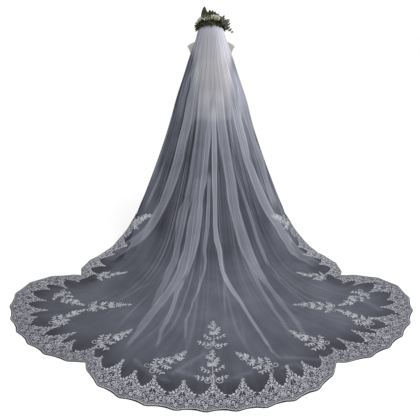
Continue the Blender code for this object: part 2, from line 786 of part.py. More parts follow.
def main():
    for thing in list(bpy.data.objects):
        bpy.data.objects.remove(thing)

    tulle = new_material("tulle_net", (0.30, 0.31, 0.37), 0.75)
    lace = new_material("corded_lace", (0.62, 0.62, 0.66), 0.70)
    ribbon = new_material("satin_ribbon", (0.70, 0.70, 0.74), 0.45)
    leaf = new_material("leaf_cloth", (0.05, 0.09, 0.05), 0.60)
    petal = new_material("petal_cloth", (0.72, 0.74, 0.66), 0.65)
    cover = new_material("form_cover", (0.80, 0.78, 0.74), 0.80)
    metal = new_material("painted_steel", (0.75, 0.75, 0.75), 0.40)

    grid = fold_grid(drape_grid())
    normals = cloth_normals(grid)
    make_tulle(grid, normals, tulle)

    counts = [lobe[0] * COLUMNS_PER_REPEAT for lobe in HEM_LOBES]
    bounds = [1, int(counts[2]), int(counts[2] + counts[1])]
    bounds += [len(grid[0]) - 1 - b for b in reversed(bounds)]
    for name, first, last in zip(LACE_NAMES, bounds, bounds[1:]):
        make_lace(name, grid, normals, first, last, lace)

    outer = flat_list(moved_out(grid, normals, TULLE_WALL))
    width = len(grid[0])
    cells = []
    for r in range(len(grid) - 1):
        for c in range(width - 1):
            a = r * width + c
            cells += [(a, a + 1, a + width + 1), (a, a + width + 1, a + width)]
    panel = BVHTree.FromPolygons(outer, cells)
    for number, row in enumerate(SPRAYS, 1):
        make_spray(f"lace_spray_{number:02d}", row, panel, lace)

    make_band(ribbon)
    make_wreath(leaf)
    for number, (around, bloom) in enumerate(ROSES, 1):
        make_rose(f"wreath_rose_{number}", around, bloom, petal)

    make_form(cover)
    stand = (
        (0.0, BASE_RADIUS),
        (BASE_HEIGHT - BASE_BEVEL, BASE_RADIUS),
        (BASE_HEIGHT, BASE_RADIUS - BASE_BEVEL),
        (BASE_HEIGHT, POLE_RADIUS),
        (FORM_SECTIONS[0][0] - SEAM_GAP, POLE_RADIUS),
    )
    make_turned("form_stand", stand, STAND_SIDES, metal)

    # stand the middle of the footprint on the origin
    solids = [thing for thing in bpy.data.objects if thing.type == "MESH"]
    spots = [vertex.co for thing in solids for vertex in thing.data.vertices]
    middle = Vector((
        (min(p.x for p in spots) + max(p.x for p in spots)) / 2,
        (min(p.y for p in spots) + max(p.y for p in spots)) / 2,
        0.0,
    ))
    for thing in solids:
        thing.data.transform(Matrix.Translation(-middle))


main()
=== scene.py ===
import math

import bmesh
import bpy
import numpy as np
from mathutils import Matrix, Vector
from mathutils.bvhtree import BVHTree


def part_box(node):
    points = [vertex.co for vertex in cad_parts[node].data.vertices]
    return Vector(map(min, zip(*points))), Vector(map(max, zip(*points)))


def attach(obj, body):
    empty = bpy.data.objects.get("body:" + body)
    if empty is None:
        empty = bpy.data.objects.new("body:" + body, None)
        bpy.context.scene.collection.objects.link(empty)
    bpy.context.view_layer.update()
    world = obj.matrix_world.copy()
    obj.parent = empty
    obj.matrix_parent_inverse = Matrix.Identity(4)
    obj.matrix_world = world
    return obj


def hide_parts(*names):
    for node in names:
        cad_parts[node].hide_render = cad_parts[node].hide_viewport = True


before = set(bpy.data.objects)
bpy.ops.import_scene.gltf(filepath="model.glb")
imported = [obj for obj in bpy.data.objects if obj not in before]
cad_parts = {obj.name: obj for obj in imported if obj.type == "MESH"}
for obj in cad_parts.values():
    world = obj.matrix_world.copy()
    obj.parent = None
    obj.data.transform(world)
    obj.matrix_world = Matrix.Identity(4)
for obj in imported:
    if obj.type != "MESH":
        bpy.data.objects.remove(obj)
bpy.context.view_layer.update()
standLow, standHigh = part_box("form_stand")
formAxis = np.array([(standLow.x + standHigh.x) / 2, (standLow.y + standHigh.y) / 2, 0.0])
print("frame loaded")


# small helpers
def linear(hexColour):
    parts = [int(hexColour[i:i + 2], 16) / 255 for i in (1, 3, 5)]
    parts = [p / 12.92 if p <= 0.04045 else ((p + 0.055) / 1.055) ** 2.4 for p in parts]
    return (*parts, 1.0)


def addNode(tree, kind, settings=None, links=None):
    node = tree.nodes.new(kind)
    for name, value in (settings or {}).items():
        if isinstance(name, str) and hasattr(node, name):
            setattr(node, name, value)
        else:
            node.inputs[name].default_value = value
    for name, (source, output) in (links or {}).items():
        tree.links.new(source.outputs[output], node.inputs[name])
    return node


def newMaterial(name, settings):
    material = bpy.data.materials.new(name)
    material.use_nodes = True
    tree = material.node_tree
    shader = tree.nodes["Principled BSDF"]
    for socket, value in settings.items():
        shader.inputs[socket].default_value = value
    return material, tree, shader


# the next helpers each give a node and the name or number of its output, ready to be linked
def attribute(tree, name):
    return addNode(tree, "ShaderNodeAttribute", {"attribute_name": name}), "Fac"


def objectPlace(tree):
    return addNode(tree, "ShaderNodeTexCoord"), "Object"


def noise(tree, scale, detail):
    settings = {"Scale": scale, "Detail": detail}
    return addNode(tree, "ShaderNodeTexNoise", settings, {"Vector": objectPlace(tree)}), "Fac"


def drawnOutNoise(tree, stretch, detail, roughness=0.5):
    # noise drawn out along the cut of a cloth
    cut = addNode(tree, "ShaderNodeUVMap", {"uv_map": "cut"})
    spread = addNode(tree, "ShaderNodeMapping", {"Scale": stretch}, {"Vector": (cut, "UV")})
    settings = {"noise_dimensions": "2D", "Scale": 1.0, "Detail": detail, "Roughness": roughness}
    return addNode(tree, "ShaderNodeTexNoise", settings, {"Vector": (spread, "Vector")}), "Fac"


def ranged(tree, source, low, high, toLow=0.0, toHigh=1.0):
    settings = {"From Min": low, "From Max": high, "To Min": toLow, "To Max": toHigh}
    return addNode(tree, "ShaderNodeMapRange", settings, {"Value": source}), "Result"


def worked(tree, operation, *terms):
    # a term is a number or the output of another node
    numbers = {index: term for index, term in enumerate(terms) if not isinstance(term, tuple)}
    links = {index: term for index, term in enumerate(terms) if isinstance(term, tuple)}
    return addNode(tree, "ShaderNodeMath", {"operation": operation, **numbers}, links), 0


def toneRamp(tree, source, stops):
    node = addNode(tree, "ShaderNodeValToRGB", None, {"Fac": source})
    elements = node.color_ramp.elements
    while len(elements) < len(stops):
        elements.new(1.0)
    for element, (place, hexColour) in zip(elements, stops):
        element.position = place
        element.color = linear(hexColour)
    return node, "Color"


def mixed(tree, share, colour, hexColour, blend="MIX"):
    settings = {"blend_type": blend, "Color2": linear(hexColour)}
    return addNode(tree, "ShaderNodeMixRGB", settings, {"Fac": share, "Color1": colour}), "Color"


def finishCloth(tree, shader, colour, height, strength, distance):
    settings = {"Strength": strength, "Distance": distance}
    bump = addNode(tree, "ShaderNodeBump", settings, {"Height": height})
    tree.links.new(colour[0].outputs[colour[1]], shader.inputs["Base Color"])
    tree.links.new(bump.outputs["Normal"], shader.inputs["Normal"])


def newPiece(name, points, faces, material, smooth=True, weld=False):
    mesh = bpy.data.meshes.new(name)
    mesh.from_pydata(points, [], faces)
    if weld:
        edit = bmesh.new()
        edit.from_mesh(mesh)
        bmesh.ops.remove_doubles(edit, verts=edit.verts, dist=1e-6)
        bmesh.ops.dissolve_degenerate(edit, edges=edit.edges, dist=1e-7)
        edit.to_mesh(mesh)
        edit.free()
    mesh.materials.append(material)
    mesh.polygons.foreach_set("use_smooth", [smooth] * len(mesh.polygons))
    mesh.update()
    piece = bpy.data.objects.new(name, mesh)
    bpy.context.scene.collection.objects.link(piece)
    return piece


def addTone(piece, name, values):
    layer = piece.data.attributes.new(name, "FLOAT", "POINT")
    layer.data.foreach_set("value", np.asarray(values, np.float32).ravel())


def addUv(piece, across, along):
    uv = piece.data.uv_layers.new(name="cut")
    corners = np.empty(len(piece.data.loops), np.int32)
    piece.data.loops.foreach_get("vertex_index", corners)
    pairs = np.stack([np.ravel(across)[corners], np.ravel(along)[corners]], axis=1)
    uv.data.foreach_set("uv", pairs.astype(np.float32).ravel())


def inFrame(piece, node):
    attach(piece, "root")
    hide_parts(node)


def gridFaces(rows, columns):
    first = (np.arange(rows - 1)[:, None] * columns + np.arange(columns - 1)[None, :]).ravel()
    return np.stack([first, first + 1, first + columns + 1, first + columns], axis=1).tolist()


def smoothStep(value, low=0.0, high=1.0):
    share = np.clip((value - low) / (high - low), 0.0, 1.0)
    return share * share * (3 - 2 * share)


# camera at the height of a person standing behind the train
cameraSetup = {
    "height": 1.700, "distance": 4.357, "pitch": 22.647, "sensor": 36.0, "focalShare": 480 / 420,
    "shiftShare": -1 / 420, "farthest": 60,
}
cameraData = bpy.data.cameras.new("studioCamera")
cameraData.sensor_fit = "AUTO"
cameraData.sensor_width = cameraSetup["sensor"]
cameraData.lens = cameraSetup["sensor"] * cameraSetup["focalShare"]
cameraData.shift_x = cameraSetup["shiftShare"]
cameraData.clip_end = cameraSetup["farthest"]
camera = bpy.data.objects.new("studioCamera", cameraData)
bpy.context.scene.collection.objects.link(camera)
camera.location = (formAxis[0], formAxis[1] - cameraSetup["distance"], cameraSetup["height"])
camera.rotation_euler = (math.radians(90 - cameraSetup["pitch"]), 0, 0)
bpy.context.scene.camera = camera


# the lie of the net, worked out from the sizes of its solid
veilCut = {
    # height, radius at the back, radius at the side edge, angle of the side edge
    "sections": (
        (0.000, 1.360, 1.400, 35.0), (0.030, 1.250, 1.290, 34.6), (0.120, 1.120, 1.164, 34.2),
        (0.310, 0.930, 0.975, 33.9), (0.500, 0.770, 0.830, 33.9), (0.730, 0.590, 0.675, 33.9),
        (0.900, 0.460, 0.535, 36.6), (1.100, 0.315, 0.370, 44.6), (1.320, 0.180, 0.245, 48.0),
        (1.400, 0.150, 0.205, 53.0), (1.480, 0.122, 0.160, 60.0), (1.550, 0.092, 0.118, 71.0),
        (1.600, 0.062, 0.093, 93.0),
    ),
    # repeats of the border, four handles of the hem's curve, lie at its start and end, lace depth
    "lobes": (
        (5.5, (0.000, -2.678), (0.360, -2.678), (0.600, -2.540), (0.655, -2.352), 0, 27, 1.00),
        (10, (0.655, -2.352), (1.150, -2.330), (1.600, -1.420), (0.900, -1.455), 27, 146, 1.00),
        (5, (0.900, -1.455), (0.990, -1.220), (0.690, -1.020), (0.600, -0.900), 116, 85, 0.66),
    ),
    "perRepeat": 3, "cornerLie": 50,
    # share of the lace's depth at a notch and at the upper corners, and columns to its full depth
    "laceEnds": {"notch": (0.50, 7), "corner": (0.08, 13)},
    "hangLevels": (0.972, 0.91, 0.80, 0.66, 0.52, 0.38, 0.25, 0.12, 0.0),
    "floorLevels": (0.40, 0.74, 1.0),
    "borderLevels": (1.0, 0.62, 0.24, 0.0),
    "junctionMiddle": 0.030, "junctionEdge": 0.420, "fanning": 4.0, "evening": 6,
    "lacePeak": 0.190, "laceMargin": 0.080, "hemScallop": 0.010,
    "wall": 0.0008,             # the drawn net lies half way through its solid's wall
    "columnSteps": 6, "rows": 132, "rowCrowding": 1.35, "handleSteps": 49, "heightTries": 26,
    "pinch": {"share": 0.15, "height": 1.505, "reach": 0.055},
}
neck = {
    "lean": 20.0, "foot": (0.0, -0.010, 1.470), "radius": 0.058, "length": 0.134,
    "wreathAlong": 0.112, "wreathFit": 0.0008, "tube": 0.017, "bandHalfAngle": 75.0,
    "bandHeight": 0.012, "bandDrop": 0.002, "bandWall": 0.003, "seamGap": 0.0004,
}
sectionRows = np.array(veilCut["sections"])
leanAngle = math.radians(neck["lean"])
neckUp = np.array([0, math.sin(leanAngle), math.cos(leanAngle)])
neckBack = np.array([0, -math.cos(leanAngle), math.sin(leanAngle)])
tubeFlat = neck["tube"] * math.cos(math.pi / 6)
ringRadius = neck["radius"] + neck["wreathFit"] + tubeFlat
bandRadius = ringRadius + tubeFlat + neck["seamGap"]


def alongNeck(length):
    return np.array(neck["foot"]) + neckUp * length


wreathMiddle = alongNeck(neck["wreathAlong"])


def heading(degrees):
    turn = np.radians(degrees)
    return np.stack([np.sin(turn), -np.cos(turn)], axis=-1)


def roundWreath(degrees):
    turn = np.radians(np.asarray(degrees, float))[..., None]
    return np.sin(turn) * np.array([1.0, 0, 0]) + np.cos(turn) * neckBack


def sectionRadius(side, height):
    back = np.interp(height, sectionRows[:, 0], sectionRows[:, 1])
    edge = np.interp(height, sectionRows[:, 0], sectionRows[:, 2])
    return back + (edge - back) * side * side


def heightAt(plan):
    angle = np.degrees(np.arctan2(plan[..., 0], -plan[..., 1]))
    radius = np.hypot(plan[..., 0], plan[..., 1])
    low = np.zeros_like(radius)
    high = np.full_like(radius, veilCut["junctionEdge"] * 2)
    for _ in range(veilCut["heightTries"]):
        middle = (low + high) / 2
        side = np.clip(angle / np.interp(middle, sectionRows[:, 0], sectionRows[:, 3]), -1, 1)
        under = sectionRadius(side, middle) > radius
        low = np.where(under, middle, low)
        high = np.where(under, high, middle)
    return np.where(low > 1e-6, low, 0.0)


def laceFrom(end, columns):
    # share of the lace's depth so many columns from an end
    atEnd, needed = veilCut["laceEnds"][end]
    return atEnd + smoothStep(columns / needed)


def hemStations():
    right = []
    lobes = veilCut["lobes"]
    for index, (repeats, p0, p1, p2, p3, lieFrom, lieTo, most) in enumerate(lobes):
        following = lobes[index + 1] if index + 1 < len(lobes) else None
        t = np.linspace(0, 1, veilCut["handleSteps"])[:, None]
        p0, p1, p2, p3 = (np.array(p) for p in (p0, p1, p2, p3))
        hem = (1 - t)**3 * p0 + 3 * (1 - t)**2 * t * p1 + 3 * (1 - t) * t * t * p2 + t**3 * p3
        run = np.concatenate([[0], np.cumsum(np.linalg.norm(np.diff(hem, axis=0), axis=1))])
        columns = repeats * veilCut["perRepeat"]
        for step in np.arange(0.5 if columns % 1 else 1.0, columns + 0.01, 1.0):
            x, y = (np.interp(run[-1] * step / columns, run, hem[:, k]) for k in (0, 1))
            lie = lieFrom + (lieTo - lieFrom) * step / columns
            lace = min(most, laceFrom("notch" if following else "corner", columns - step))
            if index:
                lace = min(lace, laceFrom("notch", step))
            if step == columns:
                lie = (lieTo + following[5]) / 2 if following else veilCut["cornerLie"]
            right.append((x, y, lie, lace))
    return np.array([(-x, y, -lie, lace) for x, y, lie, lace in reversed(right)] + right)


stations = hemStations()
columnCount = len(stations)
# columns where two lobes meet, counted from the middle of the hem
lobeColumns = (math.ceil(lobe[0] * veilCut["perRepeat"]) for lobe in veilCut["lobes"][:-1])
meetings = np.cumsum(list(lobeColumns))
notches = [*(columnCount // 2 - meetings[::-1]).tolist(), *(columnCount // 2 - 1 + meetings).tolist()]


def baseGrid():
    number = np.arange(columnCount)
    side = 2 * number / (columnCount - 1) - 1
    tuck = neck["bandDrop"] + neck["bandHeight"] / 2 + neck["seamGap"]
    top = wreathMiddle + roundWreath(neck["bandHalfAngle"] * side) * bandRadius - neckUp * tuck
    lift = veilCut["junctionEdge"] - veilCut["junctionMiddle"]
    junction = veilCut["junctionMiddle"] + lift * np.abs(side)**3
    rows = [top]
    for level in veilCut["hangLevels"]:
        height = junction + (top[:, 2] - junction) * level
        angle = np.interp(height, sectionRows[:, 0], sectionRows[:, 3]) * side
        plan = heading(angle) * sectionRadius(side, height)[:, None]
        rows.append(np.column_stack([plan, height]))
    start = rows[-1][:, :2]
    hem, lie, lace = stations[:, :2], stations[:, 2], stations[:, 3]
    scallop = (number % veilCut["perRepeat"] == 1) * np.minimum(lace, 1.0)
    out = heading(lie)
    end = hem - out * ((veilCut["lacePeak"] + veilCut["laceMargin"]) * lace)[:, None]
    startRadius, endRadius = np.hypot(*start.T), np.hypot(*end.T)
    startAngle = np.degrees(np.arctan2(start[:, 0], -start[:, 1]))
    endAngle = np.degrees(np.arctan2(end[:, 0], -end[:, 1]))
    for level in veilCut["floorLevels"]:
        radius = startRadius + (endRadius - startRadius) * level
        angle = startAngle + (endAngle - startAngle) * level**veilCut["fanning"]
        plan = heading(angle) * radius[:, None]
        for _ in range(veilCut["evening"]):
            plan[1:-1] = (plan[:-2] + plan[1:-1] * 2 + plan[2:]) / 4
        rows.append(np.column_stack([plan, heightAt(plan)]))
    for level in veilCut["borderLevels"]:
        depth = veilCut["lacePeak"] * lace * level - veilCut["hemScallop"] * scallop * (1 - level)
        plan = hem - out * depth[:, None]
        rows.append(np.column_stack([plan, heightAt(plan)]))
    return np.array(rows)


def refine(values, places, wanted, breaks=()):
    # a smooth curve through every value, with a corner wherever two lobes meet
    shape = (-1, *[1] * (values.ndim - 1))
    steps = np.diff(places)
    slopes = np.diff(values, axis=0) / steps.reshape(shape)
    before = np.concatenate([slopes[:1], slopes])
    after = np.concatenate([slopes, slopes[-1:]])
    stepBefore = np.concatenate([steps[:1], steps]).reshape(shape)
    stepAfter = np.concatenate([steps, steps[-1:]]).reshape(shape)
    middle = (before * stepAfter + after * stepBefore) / (stepBefore + stepAfter)
    leaving, arriving = middle.copy(), middle.copy()
    for index in breaks:
        leaving[index] = after[index]
        arriving[index] = before[index]
    cell = np.clip(np.searchsorted(places, wanted, side="right") - 1, 0, len(steps) - 1)
    h = steps[cell].reshape(shape)
    t = ((wanted - places[cell]) / steps[cell]).reshape(shape)
    first, second = values[cell], values[cell + 1]
    return (
        first * (2 * t**3 - 3 * t**2 + 1) + leaving[cell] * h * (t**3 - 2 * t**2 + t)
        + second * (3 * t**2 - 2 * t**3) + arriving[cell + 1] * h * (t**3 - t**2)
    )


def gridNormals(grid):
    across = np.gradient(grid, axis=1)
    along = np.gradient(grid, axis=0)
    normals = np.cross(along, across)
    return normals / np.maximum(np.linalg.norm(normals, axis=2, keepdims=True), 1e-9)


def stepLengths(grid):
    return np.linalg.norm(np.diff(grid, axis=0), axis=2)


coarse = baseGrid()
pinch = veilCut["pinch"]
fromPinch = (coarse[..., 2] - pinch["height"]) / pinch["reach"]
coarse[..., 0] *= 1 - pinch["share"] * np.exp(-fromPinch**2)
columnPlaces = np.arange(columnCount, dtype=float)
fineColumns = np.linspace(0, columnCount - 1, (columnCount - 1) * veilCut["columnSteps"] + 1)
smoothRows = 1 + len(veilCut["hangLevels"]) + len(veilCut["floorLevels"])
upper = refine(coarse[:smoothRows].swapaxes(0, 1), columnPlaces, fineColumns)
lower = refine(coarse[smoothRows:].swapaxes(0, 1), columnPlaces, fineColumns, notches)
netGrid = np.concatenate([upper, lower], axis=1).swapaxes(0, 1)
rowRun = np.concatenate([[0], np.cumsum(stepLengths(netGrid).mean(axis=1))])
# rows lie closer together towards the hem
rowPlaces = 1 - (1 - np.linspace(0, 1, veilCut["rows"]))**veilCut["rowCrowding"]
netGrid = refine(netGrid, rowRun, rowPlaces * rowRun[-1])
netGrid[..., 2] = np.maximum(netGrid[..., 2], 0.0)
run = np.concatenate([
    np.zeros((1, len(fineColumns))), np.cumsum(stepLengths(netGrid), axis=0),
])
way = run / run[-1]
columnGrid = np.broadcast_to(fineColumns, way.shape)
sideGrid = 2 * columnGrid / (columnCount - 1) - 1
print("net laid out", netGrid.shape)


# folds of the net
netFolds = {
    # how much paler or darker it is, and its course: points on the net from the form's axis
    # (across, back, up) and its half width there, in millimetres
    "drawn": (
        (0.20, ((-344, -612, 659, 8), (-419, -744, 450, 10), (-488, -831, 313, 13), (-533, -909, 218, 10))),
        (0.14, ((-290, -338, 1007, 11), (-372, -559, 729, 9), (-447, -686, 514, 11), (-508, -771, 375, 8))),
        (0.27, ((-113, -187, 1303, 21), (-135, -239, 1200, 32), (-145, -287, 1121, 27),
            (-169, -368, 1005, 34), (-187, -476, 868, 38), (-231, -584, 724, 36), (-259, -677, 592, 40),
            (-299, -759, 472, 40), (-336, -823, 381, 40), (-374, -886, 298, 34), (-461, -995, 169, 34),
            (-523, -1048, 104, 40), (-626, -1089, 47, 39), (-718, -1173, 4, 34), (-793, -1315, 0, 26))),
        (0.18, ((-39, -297, 1127, 64), (-58, -384, 1001, 49), (-67, -492, 857, 49), (-81, -580, 741, 50),
            (-101, -686, 604, 55), (-116, -792, 468, 59), (-147, -879, 361, 60), (-171, -931, 300, 39))),
        (0.18, ((-141, -732, 540, 26), (-151, -803, 450, 27), (-169, -874, 365, 28), (-183, -908, 324, 31),
            (-215, -955, 268, 38), (-232, -1032, 189, 36), (-252, -1155, 76, 22), (-261, -1275, 20, 22),
            (-294, -1423, 3, 24), (-312, -1556, 1, 21), (-333, -1658, 0, 20), (-340, -1776, 0, 24),
            (-368, -1907, 0, 14))),
        (0.25, ((-80, -742, 533, 24), (-89, -814, 444, 28), (-102, -869, 379, 31), (-120, -961, 274, 34),
            (-140, -1039, 195, 40), (-159, -1140, 97, 34), (-170, -1206, 49, 37), (-197, -1301, 12, 39),
            (-207, -1411, 0, 35), (-238, -1548, 0, 30), (-275, -1676, 0, 26), (-317, -1798, 0, 27),
            (-351, -1892, 0, 26), (-391, -2008, 0, 26), (-416, -2097, 0, 16), (-445, -2177, 0, 11),
            (-466, -2263, 0, 9))),
        (0.26, ((-187, -1474, 0, 17), (-207, -1612, 1, 17), (-223, -1664, 0, 17), (-229, -1772, 0, 13),
            (-240, -1878, 0, 12), (-264, -2001, 0, 13), (-284, -2069, 0, 12), (-289, -2166, 0, 8),
            (-302, -2276, 0, 7))),
        (0.34, ((9, -368, 1025, 12), (-5, -476, 880, 15), (-24, -583, 739, 22), (-40, -691, 601, 18),
            (-56, -799, 465, 25), (-71, -853, 399, 18), (-79, -909, 334, 15), (-84, -966, 272, 19),
            (-93, -1045, 192, 19), (-108, -1127, 112, 20), (-127, -1214, 46, 15), (-156, -1366, 1, 11),
            (-183, -1562, 0, 9))),
        (0.26, ((-12, -745, 532, 8), (-15, -800, 464, 12), (-19, -912, 334, 12), (-27, -1049, 191, 14),
            (-40, -1131, 111, 14), (-49, -1197, 58, 12), (-40, -1271, 21, 10), (-45, -1384, 0, 8),
            (-67, -1534, 0, 8), (-84, -1652, 0, 8), (-113, -1790, 0, 6), (-124, -1872, 0, 6),
            (-148, -1976, 0, 8), (-147, -2081, 0, 6), (-139, -2222, 0, 5))),
        (0.44, ((37, -350, 1050, 14), (25, -476, 880, 16), (27, -691, 601, 21), (27, -800, 464, 19),
            (31, -912, 334, 16), (32, -1049, 191, 16), (42, -1131, 111, 19), (63, -1197, 59, 18),
            (72, -1296, 14, 14), (82, -1410, 0, 13), (104, -1527, 0, 16), (143, -1665, 0, 15),
            (188, -1789, 0, 11), (215, -1890, 0, 9), (243, -1986, 0, 9), (279, -2097, 0, 9),
            (299, -2161, 0, 7), (329, -2262, 0, 6), (364, -2332, 0, 5))),
        (0.16, ((86, -1470, 0, 7), (87, -1651, 0, 7), (85, -1824, 0, 6), (88, -2043, 0, 5))),
        (0.27, ((56, -296, 1128, 33), (70, -383, 1001, 35), (84, -490, 859, 36), (104, -595, 720, 41),
            (130, -699, 585, 40), (157, -802, 452, 40), (168, -893, 343, 43), (183, -947, 281, 38),
            (213, -1039, 184, 42), (247, -1134, 92, 46), (268, -1195, 51, 43), (301, -1308, 15, 37),
            (326, -1407, 5, 30), (354, -1506, 3, 23), (392, -1640, 0, 15))),
        (0.24, ((262, -1250, 30, 18), (288, -1350, 9, 19), (300, -1444, 3, 17), (310, -1528, 2, 12),
            (335, -1656, 0, 10), (365, -1780, 0, 12), (387, -1885, 0, 9), (419, -1982, 0, 10),
            (438, -2067, 0, 8), (449, -2175, 0, 6))),
        (0.22, ((292, -1240, 34, 16), (325, -1370, 9, 19), (353, -1474, 4, 18), (371, -1548, 1, 16),
            (402, -1667, 0, 13), (436, -1783, 0, 16), (471, -1893, 0, 13), (501, -1989, 0, 13),
            (520, -2078, 0, 10), (556, -2182, 0, 8))),
        (0.20, ((149, -399, 970, 11), (152, -474, 875, 9), (181, -684, 597, 11), (215, -780, 468, 10),
            (266, -889, 329, 10), (288, -935, 273, 12), (322, -1016, 181, 12), (352, -1106, 98, 12),
            (379, -1189, 54, 14), (397, -1290, 25, 10), (417, -1395, 10, 9))),
        (0.11, ((428, -1318, 21, 11), (467, -1535, 0, 9), (522, -1667, 0, 8), (581, -1795, 0, 8))),
        (0.34, ((202, -363, 1004, 40), (217, -474, 866, 33), (258, -581, 725, 32), (287, -671, 593, 28),
            (350, -763, 452, 33), (408, -856, 321, 36), (447, -906, 256, 35), (521, -983, 157, 35),
            (589, -1071, 70, 36), (635, -1142, 21, 47), (718, -1237, 0, 46), (791, -1350, 0, 44))),
        (0.28, ((265, -349, 1007, 18), (296, -462, 866, 17), (342, -564, 726, 18), (400, -651, 585, 27),
            (437, -740, 447, 20), (488, -831, 313, 25), (516, -883, 248, 21))),
        (0.18, ((119, -184, 1306, 12), (161, -258, 1159, 12), (202, -363, 1004, 17))),
        (0.20, ((201, -188, 1264, 26), (243, -265, 1119, 26), (277, -373, 973, 55), (318, -489, 829, 29),
            (360, -600, 672, 16))),
        (0.12, ((-180, -193, 1266, 21), (-211, -270, 1123, 31), (-245, -382, 974, 24),
            (-278, -494, 832, 21))),
        (0.14, ((84, -114, 1463, 8), (107, -161, 1357, 13), (134, -223, 1228, 12))),
        (0.10, ((-81, -115, 1463, 16), (-97, -151, 1382, 11), (-113, -201, 1275, 8))),
        (0.16, ((317, -567, 730, 9), (370, -681, 555, 9), (410, -773, 419, 8), (454, -820, 345, 9))),
        (-0.08, ((-35, -691, 601, 8), (-35, -763, 509, 12), (-42, -874, 377, 14), (-50, -968, 271, 12),
            (-61, -1048, 191, 8))),
        (-0.05, ((125, -483, 866, 9), (173, -632, 666, 14), (227, -755, 496, 16), (283, -856, 361, 16),
            (335, -936, 259, 22), (422, -1065, 117, 22), (485, -1182, 51, 25))),
        (-0.07, ((-120, -484, 865, 10), (-154, -584, 731, 13), (-179, -667, 621, 15),
            (-212, -763, 490, 12))),
        (0.12, ((-656, -2001, 0, 7), (-577, -1768, 0, 9), (-470, -1623, 0, 8), (-361, -1526, 2, 8))),
        (0.12, ((-566, -2127, 0, 9), (-498, -1927, 0, 8), (-430, -1760, 0, 7), (-364, -1633, 0, 8))),
        (0.08, ((369, -1317, 18, 9), (476, -1556, 0, 9), (569, -1746, 0, 11), (647, -1938, 0, 7))),
        (0.10, ((175, -1966, 0, 6), (183, -2118, 0, 6), (188, -2274, 0, 6))),
    ),
    "riseShare": 0.26,          # how far a fold stands out, as a share of its half width
    "edgeShare": 0.30,          # how much paler a fold's two edges are than its flat
    "edgeLift": 1.4, "edgeAt": 0.84, "edgeWidth": 0.17, "flatEnds": (0.80, 1.15), "crownEnds": 1.2,
    "courseEnds": (0.9, 1.1),   # points over which a fold comes in and goes out
    "nearSide": 0.03,           # further off the net than this, a course belongs to another layer
    # soft creases across the front of the train, as points on the floor
    "crossCreases": (
        ((-0.400, -2.331), (-0.308, -2.436), (-0.213, -2.486)),
        ((-0.197, -2.436), (-0.120, -2.362), (-0.037, -2.283)),
        ((-0.168, -2.422), (-0.096, -2.443), (-0.055, -2.479)),
        ((0.045, -2.493), (0.135, -2.458), (0.208, -2.422)),
        ((0.365, -2.315), (0.450, -2.315), (0.573, -2.331)),
        ((0.365, -2.392), (0.442, -2.362), (0.470, -2.407)),
        ((-0.930, -1.930), (-0.860, -1.960), (-0.800, -1.930)),
        ((0.900, -1.760), (0.985, -1.800), (1.040, -1.880)),
    ),
    "crease": {"width": 0.011, "height": 0.003, "pale": 0.14},
    # gathers held by the ribbon, uneven in spacing and depth
    "gathers": {
        "every": 4, "first": 61.5, "slope": 0.12, "pale": 0.05, "fades": (0.20, 0.60),
        "uneven": ((0.7, 0.61, 0.0), (0.5, 0.273, 1.0)), "depth": (0.75, (0.25, 1.37, 0.0)),
    },
    # broader groups of gathers near the ribbon
    "bunches": {
        "pale": 0.045, "height": 0.0012, "begins": (0.0, 0.05), "fades": (0.10, 0.34),
        "quick": 0.62, "sway": (0.8, 0.17, 0.0), "second": (0.7, 1.13, 2.0),
    },
    # fine gathers placed at random: where they may begin and how far they may run
    "fine": {
        "count": 170, "pale": 0.058, "height": 0.0012, "begin": (-0.1, 0.45), "length": (0.25, 0.65),
        "last": 0.93, "drift": 2.6, "pivot": 0.4, "sway": 0.35, "waves": 7, "half": (0.20, 0.50),
        "strength": (0.35, 1.7), "ends": (0.02, 0.10),
    },
    "seed": 11,
}


def wobble(values, *waves):
    # slow waves added up: how strong, how quick, and where each one begins
    return sum(strength * np.sin(values * quick + start) for strength, quick, start in waves)


def fineSwell(start, gone):
    before, after = netFolds["fine"]["ends"]
    return smoothStep(way, start - before, start + after) * smoothStep(way, gone + before, gone - after)


def nearCourse(course):
    # how far each point of the net is from a course in its half widths, how far along it lies
    # in points, and the half width there
    points = np.array(course) / 1000.0
    nearest = np.full(way.shape, np.inf)
    apart, along, wide = nearest.copy(), np.zeros_like(way), np.zeros_like(way)
    for number, (first, second) in enumerate(zip(points, points[1:])):
        step = second[:3] - first[:3]
        offset = netGrid - first[:3]
        share = np.clip((offset @ step) / (step @ step), 0, 1)
        offset -= share[..., None] * step
        off = (offset * normals).sum(axis=2)
        level = np.linalg.norm(offset - off[..., None] * normals, axis=2)
        distance = np.hypot(level, np.maximum(np.abs(off) - netFolds["nearSide"], 0) * 3)
        closer = distance < nearest
        nearest = np.where(closer, distance, nearest)
        half = first[3] + (second[3] - first[3]) * share
        apart = np.where(closer, distance / half, apart)
        along = np.where(closer, number + share, along)
        wide = np.where(closer, half, wide)
    return apart, along, wide


def nearLine(points):
    # distance on the floor from each point of the net to a line of points
    nearest = np.full(way.shape, np.inf)
    for first, second in zip(points, points[1:]):
        first, step = np.array(first), np.subtract(second, first)
        apart = netGrid[..., :2] - first
        along = np.clip((apart @ step) / (step @ step), 0, 1)
        nearest = np.minimum(nearest, np.linalg.norm(apart - along[..., None] * step, axis=2))
    return nearest


